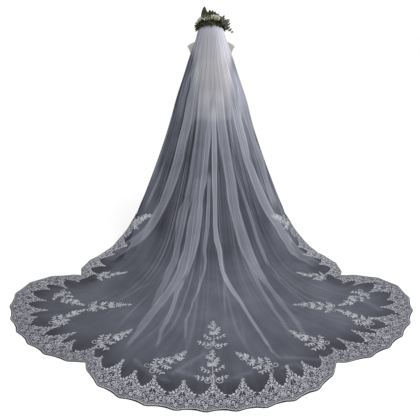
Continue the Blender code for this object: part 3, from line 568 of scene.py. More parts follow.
def gatherFolds():
    gathers, bunches = netFolds["gathers"], netFolds["bunches"]
    perColumn = np.linalg.norm(np.gradient(netGrid, axis=1), axis=2) * veilCut["columnSteps"]
    uneven = columnGrid + wobble(columnGrid, *gathers["uneven"])
    wave = 0.5 + 0.5 * np.cos(2 * np.pi * (uneven - gathers["first"]) / gathers["every"])
    depth = gathers["depth"][0] + wobble(columnGrid, gathers["depth"][1])
    depth *= 1 - smoothStep(way, *gathers["fades"])
    rise = gathers["slope"] * gathers["every"] * perColumn * wave * depth
    pale = gathers["pale"] * (wave - 0.5) * depth
    groups = np.sin(columnGrid * bunches["quick"] + wobble(columnGrid, bunches["sway"]))
    groups += wobble(columnGrid, bunches["second"])
    groups *= 1 - smoothStep(way, *bunches["fades"])
    pale += bunches["pale"] * groups
    rise += bunches["height"] * groups * smoothStep(way, *bunches["begins"])
    return rise, pale


def drawnFolds():
    rise, pale, dark = np.zeros_like(way), np.zeros_like(way), np.zeros_like(way)
    edgeShare, (comes, goes) = netFolds["edgeShare"], netFolds["courseEnds"]
    for strength, course in netFolds["drawn"]:
        apart, along, wide = nearCourse(course)
        last = len(course) - 1
        swell = smoothStep(along, 0, comes) * smoothStep(along, last, last - goes)
        flat = 1 - smoothStep(apart, *netFolds["flatEnds"])
        edge = np.exp(-((apart - netFolds["edgeAt"]) / netFolds["edgeWidth"])**2)
        shown = (1 - edgeShare) * flat + edgeShare * netFolds["edgeLift"] * edge
        if strength < 0:
            dark += strength * swell * shown
            continue
        pale = np.maximum(pale, strength * swell * shown)
        crown = np.cos(np.clip(apart / netFolds["crownEnds"], 0, 1) * np.pi / 2)**2
        rise = np.maximum(rise, netFolds["riseShare"] * wide * swell * crown)
    return rise, pale + dark


def fineFolds():
    fine = netFolds["fine"]
    rise, pale = np.zeros_like(way), np.zeros_like(way)
    chance = np.random.default_rng(netFolds["seed"])
    for _ in range(fine["count"]):
        start = chance.uniform(*fine["begin"])
        gone = min(start + chance.uniform(*fine["length"]), fine["last"])
        column = chance.uniform(0, columnCount - 1)
        drift = chance.normal(0, fine["drift"])
        sway = chance.uniform(0, 6.3)
        half = chance.uniform(*fine["half"])
        middle = column + drift * (way - fine["pivot"])
        middle += fine["sway"] * np.sin(way * fine["waves"] + sway)
        ridge = fineSwell(start, gone) * np.exp(-((columnGrid - middle) / half)**2)
        pale += fine["pale"] * chance.uniform(*fine["strength"]) * ridge
        rise += fine["height"] * ridge
    return rise, pale


def crossCreases():
    crease = netFolds["crease"]
    ridges = sum(
        np.exp(-(nearLine(points) / crease["width"])**2) for points in netFolds["crossCreases"]
    )
    return crease["height"] * ridges, crease["pale"] * ridges


normals = gridNormals(netGrid)
foldKinds = (gatherFolds, drawnFolds, fineFolds, crossCreases)
foldRise, foldPale = sum(np.array(makeFolds()) for makeFolds in foldKinds)
normals[0] = roundWreath(neck["bandHalfAngle"] * sideGrid[0])
netSurface = netGrid + normals * (foldRise + veilCut["wall"])[..., None]
netSurface[..., 2] = np.maximum(netSurface[..., 2], veilCut["wall"])
fromHem = run[-1] - run

# what shows of the net's depth: paler where it is gathered close and where the pale cover of
# the form hangs right behind it, duller along the hem, and painted light on the right, shade on the left
netTones = {
    "single": 0.16, "trainFolds": (0.36, 0.55, 0.86), "hemFolds": (0.0, 0.05),
    "form": {
        "share": 0.33, "underFolds": 0.35, "foot": (0.855, 0.893), "edge": (0.135, 0.178), "middle": 0.014,
        "leftShare": 0.66, "leftEdge": (-0.17, -0.05), "warmLost": 0.5, "warmEnds": (1.22, 1.44),
        # heights, and beside each the half width and the strength
        "halfWidth": ((0.95, 1.2, 1.33, 1.42, 1.50, 1.6), (1.0, 0.92, 1.0, 1.15, 0.8, 0.6)),
        "strength": ((0.86, 0.95, 1.08, 1.20, 1.45), (0.36, 0.54, 0.88, 1.04, 1.02)),
    },
    # the light comes from the right, and more so where the net hangs
    "right": {"share": 0.050, "lying": 0.5, "hanging": 1.1, "hangs": (0.35, 0.70)},
    "topRight": {"share": 0.24, "leftShare": 0.2, "fades": (0.10, 0.42)},
    # where the drop under the shoulders begins, and how much lower at the sides
    "dropTop": 0.90, "dropLower": 0.16, "dropSides": (0.2, 0.7),
    # how much paler each patch is, and the measures that it comes in and goes out by
    "patches": (
        (0.14, ("way", 0.30, 0.02)),  # gathered close
        (-0.20, ("fromHem", 0.018, 0.0)),  # the hem itself
        (-0.09, ("fromHem", 0.30, 0.12)),  # under the border
        (0.035, ("way", 0.56, 0.68), ("way", 0.92, 0.78)),  # smooth middle of the train
        (-0.012, ("way", 0.5, 0.7)),  # the whole train
        (-0.064, ("underTop", 0.0, 0.20), ("way", 0.69, 0.57)),  # the drop, seen through
        (0.15, ("height", 0.86, 1.00), ("height", 1.30, 1.16), ("across", 0.11, 0.20)),  # right shoulder
        (  # single beside the main folds
            -0.05, ("apart", 0.28, 0.44), ("apart", 0.76, 0.56),
            ("behind", 1.06, 1.26), ("behind", 2.0, 1.72),
        ),
        (  # right edge
            0.12, ("across", 0.36, 0.54), ("height", 0.01, 0.09),
            ("way", 0.40, 0.60), ("fromHem", 0.40, 0.26),
        ),
    ),
}
across, height = netGrid[..., 0], netGrid[..., 2]
dropTop = netTones["dropTop"] - netTones["dropLower"] * smoothStep(np.abs(sideGrid), *netTones["dropSides"])
measures = {
    "way": way, "fromHem": fromHem, "across": across, "apart": np.abs(across), "behind": -netGrid[..., 1],
    "height": height, "underTop": dropTop - height,
}


def patchTone(share, *ranges):
    return share * math.prod(smoothStep(measures[name], begins, ends) for name, begins, ends in ranges)


overForm = netTones["form"]
nearForm = smoothStep(height, *overForm["foot"]) * np.interp(height, *overForm["strength"])
fromMiddle = np.abs(across - overForm["middle"]) / np.interp(height, *overForm["halfWidth"])
nearForm *= 1 - smoothStep(fromMiddle, *overForm["edge"])
# painted shade: the form behind shows dimmer on the left, away from the light
nearForm *= overForm["leftShare"] + (1 - overForm["leftShare"]) * smoothStep(across, *overForm["leftEdge"])
toRight, topRight = netTones["right"], netTones["topRight"]
hanging = 1 - smoothStep(way, *toRight["hangs"])
# painted light and shade: paler towards the right, where the light falls, darker towards the left
paintedSideLight = toRight["share"] * sideGrid * (toRight["lying"] + toRight["hanging"] * hanging)
sideShare = np.where(sideGrid > 0, sideGrid, sideGrid * topRight["leftShare"])
paintedSideLight += topRight["share"] * sideShare * (1 - smoothStep(way, *topRight["fades"]))
fold, foldFrom, foldTo = netTones["trainFolds"]
foldPale *= (1 - fold * smoothStep(way, foldFrom, foldTo)) * smoothStep(fromHem, *netTones["hemFolds"])
netTone = netTones["single"] + foldPale * (1 - overForm["underFolds"] * nearForm)
netTone += overForm["share"] * nearForm + paintedSideLight
netTone += sum(patchTone(*patch) for patch in netTones["patches"])
netTone = np.clip(netTone, 0, 1)


# silk tulle: a soft net of fine threads, sheer where it is single and milky where it doubles
tulleLook = {
    "hem": "#26272a", "shadow": "#41424c", "single": "#51535e", "doubled": "#aaacb8",
    "gathered": "#d8daea", "overForm": "#fffaf0",
}
tulle, tree, shader = newMaterial(
    "silkTulle", {"Roughness": 0.85, "Sheen Weight": 0.03, "Specular IOR Level": 0.15},
)
threads = ranged(tree, drawnOutNoise(tree, (150.0, 1.6, 1.0), 4.0, 0.62), 0.30, 0.75, -0.13, 0.14)
fadedThreads = worked(tree, "MULTIPLY", threads, attribute(tree, "threadFade"))
mottle = ranged(tree, noise(tree, 5.0, 3.0), 0.3, 0.7, -0.025, 0.035)
withThreads = worked(tree, "ADD", attribute(tree, "netTone"), fadedThreads)
netColour = toneRamp(tree, worked(tree, "ADD", withThreads, mottle), (
    (0.0, tulleLook["hem"]), (0.08, tulleLook["shadow"]), (0.16, tulleLook["single"]),
    (0.74, tulleLook["doubled"]), (1.0, tulleLook["gathered"]),
))
warmed = mixed(tree, attribute(tree, "formShare"), netColour, tulleLook["overForm"], "MULTIPLY")
# the mesh of the net is 1.5 mm, drawn at 4 mm so that it shows at all
netMesh = addNode(
    tree, "ShaderNodeTexVoronoi", {"feature": "DISTANCE_TO_EDGE", "Scale": 250.0},
    {"Vector": objectPlace(tree)},
)
finishCloth(tree, shader, warmed, (netMesh, "Distance"), 0.10, 0.0006)

worldNet = (netSurface + formAxis).reshape(-1, 3).tolist()
netFaces = gridFaces(*way.shape)
netPiece = newPiece("tulle_panel", worldNet, netFaces, tulle)
addTone(netPiece, "netTone", netTone)
addTone(netPiece, "threadFade", 1 - 0.85 * smoothStep(way, 0.25, 0.62))
warmLost = overForm["warmLost"] * smoothStep(height, *overForm["warmEnds"])
addTone(netPiece, "formShare", nearForm * (1 - warmLost))
addUv(netPiece, columnGrid / (columnCount - 1), way)
inFrame(netPiece, "veil_tulle_panel")
netTree = BVHTree.FromPolygons(worldNet, netFaces)


# lace: shapes are drawn flat in millimetres, then laid on the net
laceThread = {
    "outline": 4.6, "fine": 3.4, "height": 0.0012, "lift": 0.0016, "hemSet": 13.0, "flatStep": 0.01,
    "flatDepth": 0.24, "tones": (0.86, 1.08),
    # painted highlight: a thread's crown and a filled leaf's crown are paler than their edges
    "edgeTone": 0.82,           # how pale a thread's two edges are beside its crown
    # a filled leaf: size of its crown, how high that is, and how pale its edge and its crown are
    "fillCrown": 0.55, "fillRise": 0.9, "fillEdge": 0.85, "fillTone": 1.05,
}


def turned(points, turn, x=0.0, y=0.0):
    c, s = math.cos(turn), math.sin(turn)
    return np.asarray(points, float) @ np.array([[c, s], [-s, c]]) + (x, y)


def circle(x, y, radius, steps=12, squash=1.0):
    angles = np.linspace(0, 2 * np.pi, steps + 1)
    return np.stack([np.cos(angles) * radius, np.sin(angles) * radius * squash], axis=1) + (x, y)


def leafLoop(x, y, turn, length, width, steps=6):
    t = np.linspace(0, 1, steps)
    half = width / 2 * np.sin(np.pi * t**0.8)
    upper = np.stack([t * length, half], axis=1)
    lower = np.stack([t * length, -half], axis=1)[::-1]
    return turned(np.concatenate([upper, lower[1:]]), turn, x, y)


def scroll(x, y, radius, turns, start, spin, steps=16):
    t = np.linspace(0, 1, steps)
    angles = start + spin * t * turns * 2 * np.pi
    size = radius * (1 - 0.75 * t)
    return np.stack([x + np.cos(angles) * size, y + np.sin(angles) * size], axis=1)


def curve(points, steps=14):
    points = np.array(points, float)
    places = np.arange(len(points), dtype=float)
    return refine(points, places, np.linspace(0, len(points) - 1, steps))


def flower(x, y, petals, length, width, turn=0.0, heart=4.5):
    # corded petals with an open ring of net between their outline and their stitched middle
    shapes = []
    for k in range(petals):
        angle = turn + 2 * np.pi * k / petals
        foot = np.array([x + math.cos(angle) * heart, y + math.sin(angle) * heart])
        shapes.append(("line", leafLoop(*foot, angle, length, width), laceThread["fine"]))
    shapes.append(("fill", circle(x, y, heart * 0.9, 8), 0))
    return shapes


def leafPair(x, y, turn, length, width, spread=0.9):
    return [
        ("fill", leafLoop(x, y, turn - spread, length, width), 0),
        ("fill", leafLoop(x, y, turn + spread, length, width), 0),
    ]


def mirrored(shapes):
    return shapes + [(kind, points * (-1, 1), width) for kind, points, width in shapes]


class LaceMesh:
    # gathers threads and filled stitches, each point with its place, its rise and its tone
    def __init__(self):
        self.points, self.lifts, self.tones, self.faces, self.count = [], [], [], [], 0

    def grow(self, lanes, place):
        # lanes of points, each with how high it rises and how pale it is
        for points, lift, tone in lanes:
            self.points.append(place(points))
            self.lifts.append(np.full(len(points), lift))
            self.tones.append(np.full(len(points), tone))
            self.count += len(points)

    def line(self, points, width, tone, place):
        along = np.gradient(points, axis=0)
        if np.allclose(points[0], points[-1]):
            along[0] = along[-1] = points[1] - points[-2]
        along /= np.maximum(np.linalg.norm(along, axis=1, keepdims=True), 1e-9)
        across = np.stack([-along[:, 1], along[:, 0]], axis=1) * width / 2
        size = len(points)
        for lane in (0, 1):
            for a in range(self.count + lane * size, self.count + (lane + 1) * size - 1):
                self.faces.append((a, a + size, a + size + 1, a + 1))
        edge = tone * laceThread["edgeTone"]
        self.grow(((points - across, 0, edge), (points, 1, tone), (points + across, 0, edge)), place)

    def fill(self, points, tone, place):
        points = points[:-1]
        size, base = len(points), self.count
        middle = points.mean(axis=0)
        crown = middle + (points - middle) * laceThread["fillCrown"]
        for k in range(size):
            m = (k + 1) % size
            self.faces.append((base + k, base + m, base + size + m, base + size + k))
        self.faces.append(tuple(range(base + size, base + 2 * size)))
        edge, pale = tone * laceThread["fillEdge"], tone * laceThread["fillTone"]
        self.grow(((points, 0, edge), (crown, laceThread["fillRise"], pale)), place)

    def add(self, shapes, place, chance):
        for kind, points, width in shapes:
            tone = chance.uniform(*laceThread["tones"])
            if kind == "fill":
                self.fill(points, tone, place)
            else:
                self.line(points, width, tone, place)

    def flat(self):
        return np.concatenate(self.points)

    def heights(self):
        return laceThread["lift"] + np.concatenate(self.lifts) * laceThread["height"]


# one repeat of the border, 145 mm wide: x from its middle, y up from the hem
def borderRepeat():
    outline, fine = laceThread["outline"], laceThread["fine"]
    half = []
    # the flame: leaves that stand out from its two flanks, smaller towards the tip
    for x, y, turn, length, width in (
        (-58, 76, 2.45, 17, 10), (-44, 82, 2.05, 20, 10), (-40, 94, 2.85, 16, 9), (-29, 98, 2.10, 21, 11),
        (-22, 114, 2.85, 17, 9), (-15, 118, 2.05, 20, 10), (-10, 138, 2.75, 14, 8), (-5, 146, 2.05, 16, 8),
    ):
        half.append(("fill", leafLoop(x, y, turn, length, width), 0))
    half += flower(-31, 82, 4, 13, 12, 0.4, 3.5)
    flank = [(-72, 64), (-52, 66), (-30, 78), (-15, 100), (-7, 130), (-2, 160)]
    half.append(("line", curve(flank, 14), fine))
    # the valley: a vine with an open strip of net under it
    half.append(("line", curve([(-73, 86), (-64, 79), (-54, 90), (-44, 84)], 10), outline))
    # the band: scrolls, flowers shared with the next repeat, and leaves between them
    half.append(("line", scroll(-46, 42, 20, 1.3, 0.4, 1, 20), outline))
    half.append(("line", scroll(-26, 27, 13, 1.1, 2.4, 1, 14), outline))
    for x, y, turn, length, width in (
        (-60, 62, 1.1, 19, 11), (-54, 21, 3.0, 18, 9), (-14, 90, 1.95, 22, 11), (-36, 16, 0.1, 17, 9),
        (-10, 26, 0.9, 15, 9), (-36, 58, 0.2, 16, 9), (-66, 28, 0.9, 14, 8),
    ):
        half.append(("line", leafLoop(x, y, turn, length, width), fine))
    wave = [(-73, 13), (-62, 18), (-50, 13), (-38, 18), (-25, 13), (-12, 18), (0, 13)]
    half.append(("line", curve(wave, 20), fine))
    for x, y, size in ((-22, 70, 5.0), (-46, 42, 5.5), (-26, 27, 4.0)):
        half.append(("fill", circle(x, y, size, 7), 0))
    for x in (-63, -45, -27, -9):
        half.append(("line", circle(x, 4, 6.4, 9, 0.9), fine))
    shapes = mirrored(half)
    shapes += flower(0, 54, 6, 22, 13, math.pi / 6, 5.0)
    shapes += flower(-73, 44, 5, 15, 10, 0.3, 3.5)
    shapes += flower(0, 172, 5, 9, 9, math.pi / 2, 3.0)
    shapes += leafPair(0, 126, math.pi / 2, 15, 9, 0.6) + leafPair(0, 100, math.pi / 2, 17, 10, 0.6)
    shapes.append(("line", curve([(0, 86), (1.5, 110), (-1.5, 136), (0, 162)], 8), outline))
    edge = [(-73, -3), (-50, -4.5), (-25, -6), (0, -6), (25, -6), (50, -4.5), (73, -3)]
    shapes.append(("line", curve(edge, 16), outline))
    return shapes


# a sprig of leaves and small flowers on one bent stem, widest at its foot
def sprigShapes(length, width, bend, chance):
    def stem(t):
        return np.array([bend * length * 4 * t * (1 - t), length * t])

    def stemTurn(t):
        return math.atan2(length, bend * length * 4 * (1 - 2 * t))

    outline, fine = laceThread["outline"], laceThread["fine"]
    shapes = [("line", np.array([stem(t) for t in np.linspace(0, 0.95, 12)]), outline)]

    def openLeaf(spot, turn, size, slim=0.42):
        shapes.append(("line", leafLoop(*spot, turn, size, size * slim), fine))

    def frond(foot, turn, span, side, size):
        bent = curve([(0, 0), (span * 0.5, side * span * 0.12), (span, side * span * 0.30)], 7)
        twig = turned(bent, turn, *foot)
        shapes.append(("line", twig, fine))
        openLeaf(twig[-1], turn + side * 0.5, size)
        for spot in twig[2::2] if span > 24 else twig[3:4]:
            for away in (-1, 1):
                angle = turn + away * chance.uniform(0.6, 1.2)
                leaf = leafLoop(*spot, angle, size * chance.uniform(0.75, 1.05), size * 0.34)
                shapes.append(("fill", leaf, 0))

    # each pair of fronds: place on the stem, reach beside the lowest, lean away from the stem
    for t, reach, lean in (
        (0.06, 1.00, 1.50), (0.24, 0.84, 1.25), (0.42, 0.60, 1.05), (0.60, 0.58, 1.1), (0.78, 0.36, 0.9),
    ):
        for side in (-1, 1):
            span = width / 2 * reach * chance.uniform(0.74, 1.02)
            size = (17 + 8 * reach * chance.uniform(0.7, 1.1)) * min(1, 0.7 + width / 500)
            turn = stemTurn(t) - side * lean * chance.uniform(0.82, 1.12)
            frond(stem(t + chance.uniform(-0.03, 0.03)), turn, max(span - size, 5), side, size)
    for t, size in ((0.13, 16), (0.50, 13), (0.70, 10)):
        spot = stem(t) + (chance.uniform(-4, 4), 0)
        shapes += flower(*spot, 5, size, size * 0.62, chance.uniform(0, 6), 4.0)
    openLeaf(stem(0.9), stemTurn(1), 22)
    for spread in (-0.6, 0.6):
        openLeaf(stem(0.88), stemTurn(1) + spread, 17)
    for side in (-1, 1):
        foot = stem(0) + (side * width * 0.16, 3)
        shapes.append(("line", scroll(*foot, width * 0.12, 1.2, 1.6, side, 14), outline))
    return shapes


# the border of the net laid out as a table: by column, and by distance in from the hem
edgeDepths = np.arange(0, laceThread["flatDepth"], laceThread["flatStep"])
edgeTable = np.empty((len(edgeDepths), len(fineColumns), 3))
for number, axis in np.ndindex(edgeTable.shape[1:]):
    edgeTable[:, number, axis] = np.interp(
        edgeDepths, fromHem[::-1, number], netSurface[::-1, number, axis],
    )
edgeNormals = -gridNormals(edgeTable)


def layOnBorder(columns, depths, lifts):
    row = np.clip(depths / laceThread["flatStep"], 0, len(edgeDepths) - 1.001)
    column = np.clip(columns * veilCut["columnSteps"], 0, len(fineColumns) - 1.001)
    r, c = row.astype(int), column.astype(int)
    fr, fc = (row - r)[:, None], (column - c)[:, None]

    def blend(table):
        low = table[r, c] * (1 - fc) + table[r, c + 1] * fc
        high = table[r + 1, c] * (1 - fc) + table[r + 1, c + 1] * fc
        return low * (1 - fr) + high * fr

    return blend(edgeTable) + blend(edgeNormals) * lifts[:, None] + formAxis


def layOnNet(points, lifts, start, toNet):
    # each point is brought to the net along one direction
    laid = np.empty((len(points), 3))
    for index, (point, lift) in enumerate(zip(points, lifts)):
        spot, normal, _, _ = netTree.ray_cast(Vector(point), toNet)
        if spot is None:
            spot, normal, _, _ = netTree.find_nearest(Vector(point) + toNet * start)
        if normal.dot(toNet) > 0:
            normal = -normal
        laid[index] = spot + normal * lift
    return laid


# corded lace: rayon cord and satin stitch on net, matt, with a painted highlight along its raised cords
laceLook = {"cord": "#83848c", "pale": "#bcbdc5"}
cordedLace, tree, shader = newMaterial(
    "cordedRayonLace", {"Roughness": 0.72, "Sheen Weight": 0.04, "Specular IOR Level": 0.25},
)
stitch = noise(tree, 330.0, 2.0)  # satin stitches 0.4 mm wide, drawn at 3 mm
stitchTone = ranged(tree, stitch, 0.3, 0.7, -0.18, 0.18)
cordTone = ranged(tree, attribute(tree, "laceTone"), 0.70, 1.10)
laceColour = toneRamp(
    tree, worked(tree, "ADD", stitchTone, cordTone), ((0.0, laceLook["cord"]), (1.0, laceLook["pale"])),
)
finishCloth(tree, shader, laceColour, stitch, 0.25, 0.0008)


def laceDone(name, lace, laid, node, duller=0.0):
    piece = newPiece(name, laid.tolist(), lace.faces, cordedLace)
    addTone(piece, "laceTone", np.concatenate(lace.tones) - duller)
    inFrame(piece, node)


def addSprig(lace, foot, tip, width, bend, chance):
    # one sprig between two flat points in metres
    reach = np.subtract(tip, foot)
    turn = math.atan2(reach[1], reach[0]) - math.pi / 2

    def inPlace(points):
        return turned(points, turn) / 1000 + foot

    length = float(np.linalg.norm(reach)) * 1000
    lace.add(sprigShapes(length, width, bend, chance), inPlace, chance)


borders = {
    "names": ("lace_side_left", "lace_train_left", "lace_centre", "lace_train_right", "lace_side_right"),
    "edges": [1, *notches, columnCount - 2], "halfRepeat": 72.5, "tipAt": 180, "seed": 3, "leastDepth": 0.66,
    "duller": (-0.04, 0.08, 0.0, 0.06, -0.08), "hangs": (-1, 0, 0, 0, 1),
    # how far in columns each flame's tip leans along the hem, and how tall it is beside the usual one
    "lean": (
        (0.0, 0.4, -0.3, 0.3, 0.0), (0.0, 0.5, -0.3, 0.2, 0.5, -0.5, 0.4, 0.9, -0.3, 0.5),
        (0.0, 0.2, -0.4, -0.8, -0.2, 0.3, 0.8, 1.4, 0.8, 0.0, 0.0),
        (0.0, -0.4, 0.4, -0.8, -0.3, 0.6, -0.4, -0.2, 0.5, -0.3), (0.0, 0.0, 0.3, -0.4, 0.3),
    ),
    "tall": (
        (1.0, 1.15, 0.9, 1.2, 1.0), (1.0, 1.20, 0.95, 1.25, 1.30, 0.80, 1.10, 1.35, 0.90, 1.25),
        (1.0, 1.1, 1.0, 1.0, 1.0, 1.0, 1.0, 1.0, 1.1, 1.0, 1.0),
        (1.0, 1.10, 1.30, 0.85, 1.35, 1.0, 0.80, 1.25, 0.95, 1.20), (1.0, 1.0, 1.2, 0.9, 1.15),
    ),
    # the sprig that ends a border on the hanging edge: foot and tip, across and up
    "endSprig": {"foot": (0.600, 0.150), "tip": (0.462, 0.226), "width": 92.0, "bend": 0.08},
    "behind": 3.0, "nearNet": 2.2,
}
drop = Vector((0, 0, -1))
inward = Vector((0, 1, 0))
repeatShapes = borderRepeat()
for index, name in enumerate(borders["names"]):
    first, last = borders["edges"][index:index + 2]
    chance = np.random.default_rng(borders["seed"] + first)
    lace = LaceMesh()
    repeats = round((last - first) / veilCut["perRepeat"])
    for number in range(repeats):
        low = first + (last - first) * number / repeats
        high = first + (last - first) * (number + 1) / repeats
        lean, tall = borders["lean"][index][number], borders["tall"][index][number]

        def inRepeat(points):
            share = (points[:, 0] / borders["halfRepeat"] + 1) / 2
            rise = np.clip(points[:, 1] / borders["tipAt"], 0, 1)
            columns = np.clip(low + (high - low) * share + lean * rise, first, last)
            shares = np.maximum(np.interp(columns, columnPlaces, stations[:, 3]), borders["leastDepth"])
            depths = (points[:, 1] + laceThread["hemSet"]) / 1000 * np.minimum(1, shares)
            return np.stack([columns, depths * (1 + (tall - 1) * rise)], axis=1)

        lace.add(repeatShapes, inRepeat, chance)
    flat = lace.flat()
    laid = layOnBorder(flat[:, 0], flat[:, 1], lace.heights())
    hangs, end = borders["hangs"][index], borders["endSprig"]
    if hangs:
        foot, tip = (np.array(end[key]) * (hangs, 1) for key in ("foot", "tip"))
        addSprig(lace, foot, tip, end["width"], end["bend"] * hangs, chance)
        hung = lace.flat()[len(flat):]
        starts = np.insert(hung, 1, -borders["behind"], axis=1) + formAxis
        sprig = layOnNet(starts, lace.heights()[len(flat):], borders["nearNet"], inward)
        laid = np.concatenate([laid, sprig])
    laceDone(name + "_cord", lace, laid, name, borders["duller"][index])
    print(name, "laid,", len(lace.faces), "faces")

sprays = {
    # foot, tip, bend and width in metres of each sprig sewn on inside the border
    "sewn": (
        ((0.012, -2.228), (0.012, -1.982), 0.02, 0.200), ((0.014, -2.490), (0.010, -2.245), -0.02, 0.200),
        ((-0.315, -2.398), (-0.128, -2.258), 0.07, 0.180), ((0.320, -2.394), (0.128, -2.266), -0.07, 0.180),
        ((-0.630, -2.205), (-0.450, -2.066), 0.06, 0.180), ((0.625, -2.213), (0.445, -2.076), -0.06, 0.180),
        ((-0.750, -1.853), (-0.485, -1.821), -0.04, 0.165), ((0.755, -1.855), (0.505, -1.822), 0.04, 0.175),
        ((-0.985, -1.684), (-0.780, -1.832), 0.07, 0.175), ((0.995, -1.679), (0.785, -1.834), -0.07, 0.175),
        ((-0.925, -2.025), (-0.765, -1.870), -0.06, 0.170), ((0.925, -2.035), (0.765, -1.872), 0.06, 0.175),
        ((-0.780, -1.474), (-0.585, -1.415), 0.05, 0.145), ((0.785, -1.485), (0.595, -1.420), -0.05, 0.145),
    ),
    "seed": 21, "above": 2.5,
}
for number, (foot, tip, bend, width) in enumerate(sprays["sewn"], 1):
    chance = np.random.default_rng(sprays["seed"] + (number - 1) // 2)
    lace = LaceMesh()
    addSprig(lace, foot, tip, width * 1000, bend, chance)
    starts = np.insert(lace.flat(), 2, sprays["above"], axis=1) + formAxis
    laid = layOnNet(starts, lace.heights(), sprays["above"], drop)
    laceDone(f"spray_{number:02d}_cord", lace, laid, f"lace_spray_{number:02d}")
print("sprays sewn on")


# ribbon: double-faced satin drawn round the gathered edge, softly ruched; its two stitched rows are not
# drawn
ribbonMake = {
    "steps": 220, "across": 9, "crown": 0.00054, "thinEdge": 0.30, "ruche": 0.0005, "rucheEvery": 0.0042,
    "uneven": (1.3, 90, 0.0),
}
satinLook = {"shade": "#8d8e99", "light": "#d5d6df"}
satin, tree, shader = newMaterial(
    "wovenSatinRibbon",
    {"Roughness": 0.34, "Anisotropic": 0.5, "Sheen Weight": 0.1, "Specular IOR Level": 0.4},
)
weaveAndSheen = drawnOutNoise(tree, (900.0, 6.0, 1.0), 3.0)
# painted sheen: the drawn-out noise paints the satin from a shaded to a lit tone
satinColour = toneRamp(tree, weaveAndSheen, ((0.25, satinLook["shade"]), (0.8, satinLook["light"])))
finishCloth(tree, shader, satinColour, weaveAndSheen, 0.2, 0.0004)

bandAngles = neck["bandHalfAngle"] * np.linspace(-1, 1, ribbonMake["steps"])
bandOut = roundWreath(bandAngles)
runAround = np.radians(bandAngles) * bandRadius


def ribbonLine(share, thick):
    # a line along the ribbon at a share of its half height, and at a height above its inside
    up = neckUp * (share * neck["bandHeight"] / 2 - neck["bandDrop"])
    return bandOut * (bandRadius + thick)[:, None] + up


section = []
ruches = np.sin(2 * np.pi * runAround / ribbonMake["rucheEvery"] + wobble(runAround, ribbonMake["uneven"]))
for share in np.linspace(-1, 1, ribbonMake["across"]):
    thick = neck["bandWall"] * (1 - ribbonMake["thinEdge"] * share**4) + ribbonMake["crown"] * (1 - share**2)
    section.append(ribbonLine(share, thick + ribbonMake["ruche"] * ruches * (1 - share**4)))
section += [ribbonLine(share, runAround * 0) for share in (1, -1)]
loop = np.array(section + section[:1]).swapaxes(0, 1) + wreathMiddle + formAxis
ribbon = newPiece("satin_ribbon", loop.reshape(-1, 3).tolist(), gridFaces(*loop.shape[:2]), satin)
places = np.meshgrid(np.linspace(0, 1, loop.shape[1]), np.linspace(0, 1, loop.shape[0]))
addUv(ribbon, places[1], places[0])
inFrame(ribbon, "gathering_ribbon")


# wreath: a bound ring with leaves, sprigs and cloth roses
def joined(parts):
    # parts are points, faces, a tone and two places on the cut
    faces, count = [], 0
    for points, partFaces, *_ in parts:
        faces += [tuple(index + count for index in face) for face in partFaces]
        count += len(points)
    points, across, along = (np.concatenate([part[index] for part in parts]) for index in (0, 3, 4))
    tones = np.concatenate([np.full(len(part[0]), part[2]) for part in parts])
    return points, faces, tones, across, along


def frameFor(direction, facing):
    forward = direction / np.linalg.norm(direction)
    side = np.cross(facing, forward)
    side /= max(np.linalg.norm(side), 1e-9)
    return forward, side, np.cross(forward, side)


bladeShape = {
    "rows": 9, "columns": 5, "pointed": (0.75, 0.9), "fold": 0.22, "ripple": 0.03, "waves": 9,
}


def leafBlade(foot, direction, facing, length, width, bend=0.25, roundness=0.0, tone=1.0):
    # a folded blade: points over its length and width, with the midrib sunk and the tip bent
    t = np.linspace(0, 1, bladeShape["rows"])[:, None]
    s = np.linspace(-1, 1, bladeShape["columns"])[None, :]
    early, sharp = bladeShape["pointed"]
    pointed = np.sin(np.pi * t**early)**sharp
    rounded = np.sqrt(np.clip(1 - (2 * t - 1)**2, 0, 1))
    half = width / 2 * (pointed * (1 - roundness) + rounded * roundness)
    forward, side, up = frameFor(direction, facing)
    lift = bladeShape["fold"] * half * np.abs(s) - bend * length * t**2
    lift = lift + bladeShape["ripple"] * width * np.sin(t * bladeShape["waves"]) * s
    parts = ((t * length, forward), (half * s, side), (lift, up))
    points = sum((amount[..., None] * direction for amount, direction in parts), np.asarray(foot))
    u, v = np.broadcast_arrays(s * 0.5 + 0.5, t)
    faces = [face[::-1] for face in gridFaces(*u.shape)]
    return points.reshape(-1, 3), faces, tone, u.ravel(), v.ravel()


def stemTube(points, radius, tone=1.0, sides=6):
    points = np.array(points, float)
    along = np.gradient(points, axis=0)
    along /= np.linalg.norm(along, axis=1, keepdims=True)
    across = np.cross(along, (0.3, 0.2, 0.9))
    across /= np.maximum(np.linalg.norm(across, axis=1, keepdims=True), 1e-9)
    other = np.cross(along, across)
    ring = []
    for k in range(sides + 1):
        angle = 2 * np.pi * k / sides
        ring.append(points + (across * math.cos(angle) + other * math.sin(angle)) * radius)
    tube = np.array(ring).swapaxes(0, 1)
    flat = np.zeros(tube.shape[0] * tube.shape[1])
    return tube.reshape(-1, 3), gridFaces(*tube.shape[:2]), tone, flat + 0.5, flat


def aroundTube(around, lift):
    turn = math.radians(lift)
    return roundWreath(around) * math.cos(turn) + neckUp * math.sin(turn)


def onRing(around, lift, out=0.0):
    return wreathMiddle + roundWreath(around) * ringRadius + aroundTube(around, lift) * (neck["tube"] + out)


# silk leaves: dyed cloth pressed over veins, dark on the face and grey on the back
leafLook = {
    "ruscus": ("#14170f", "#363c25"), "laurel": ("#3a4022", "#767c4c"), "eucalyptus": ("#3c4038", "#7d8072"),
    "back": "#6d6c74", "veins": 48.0, "veinShow": 0.10,
}


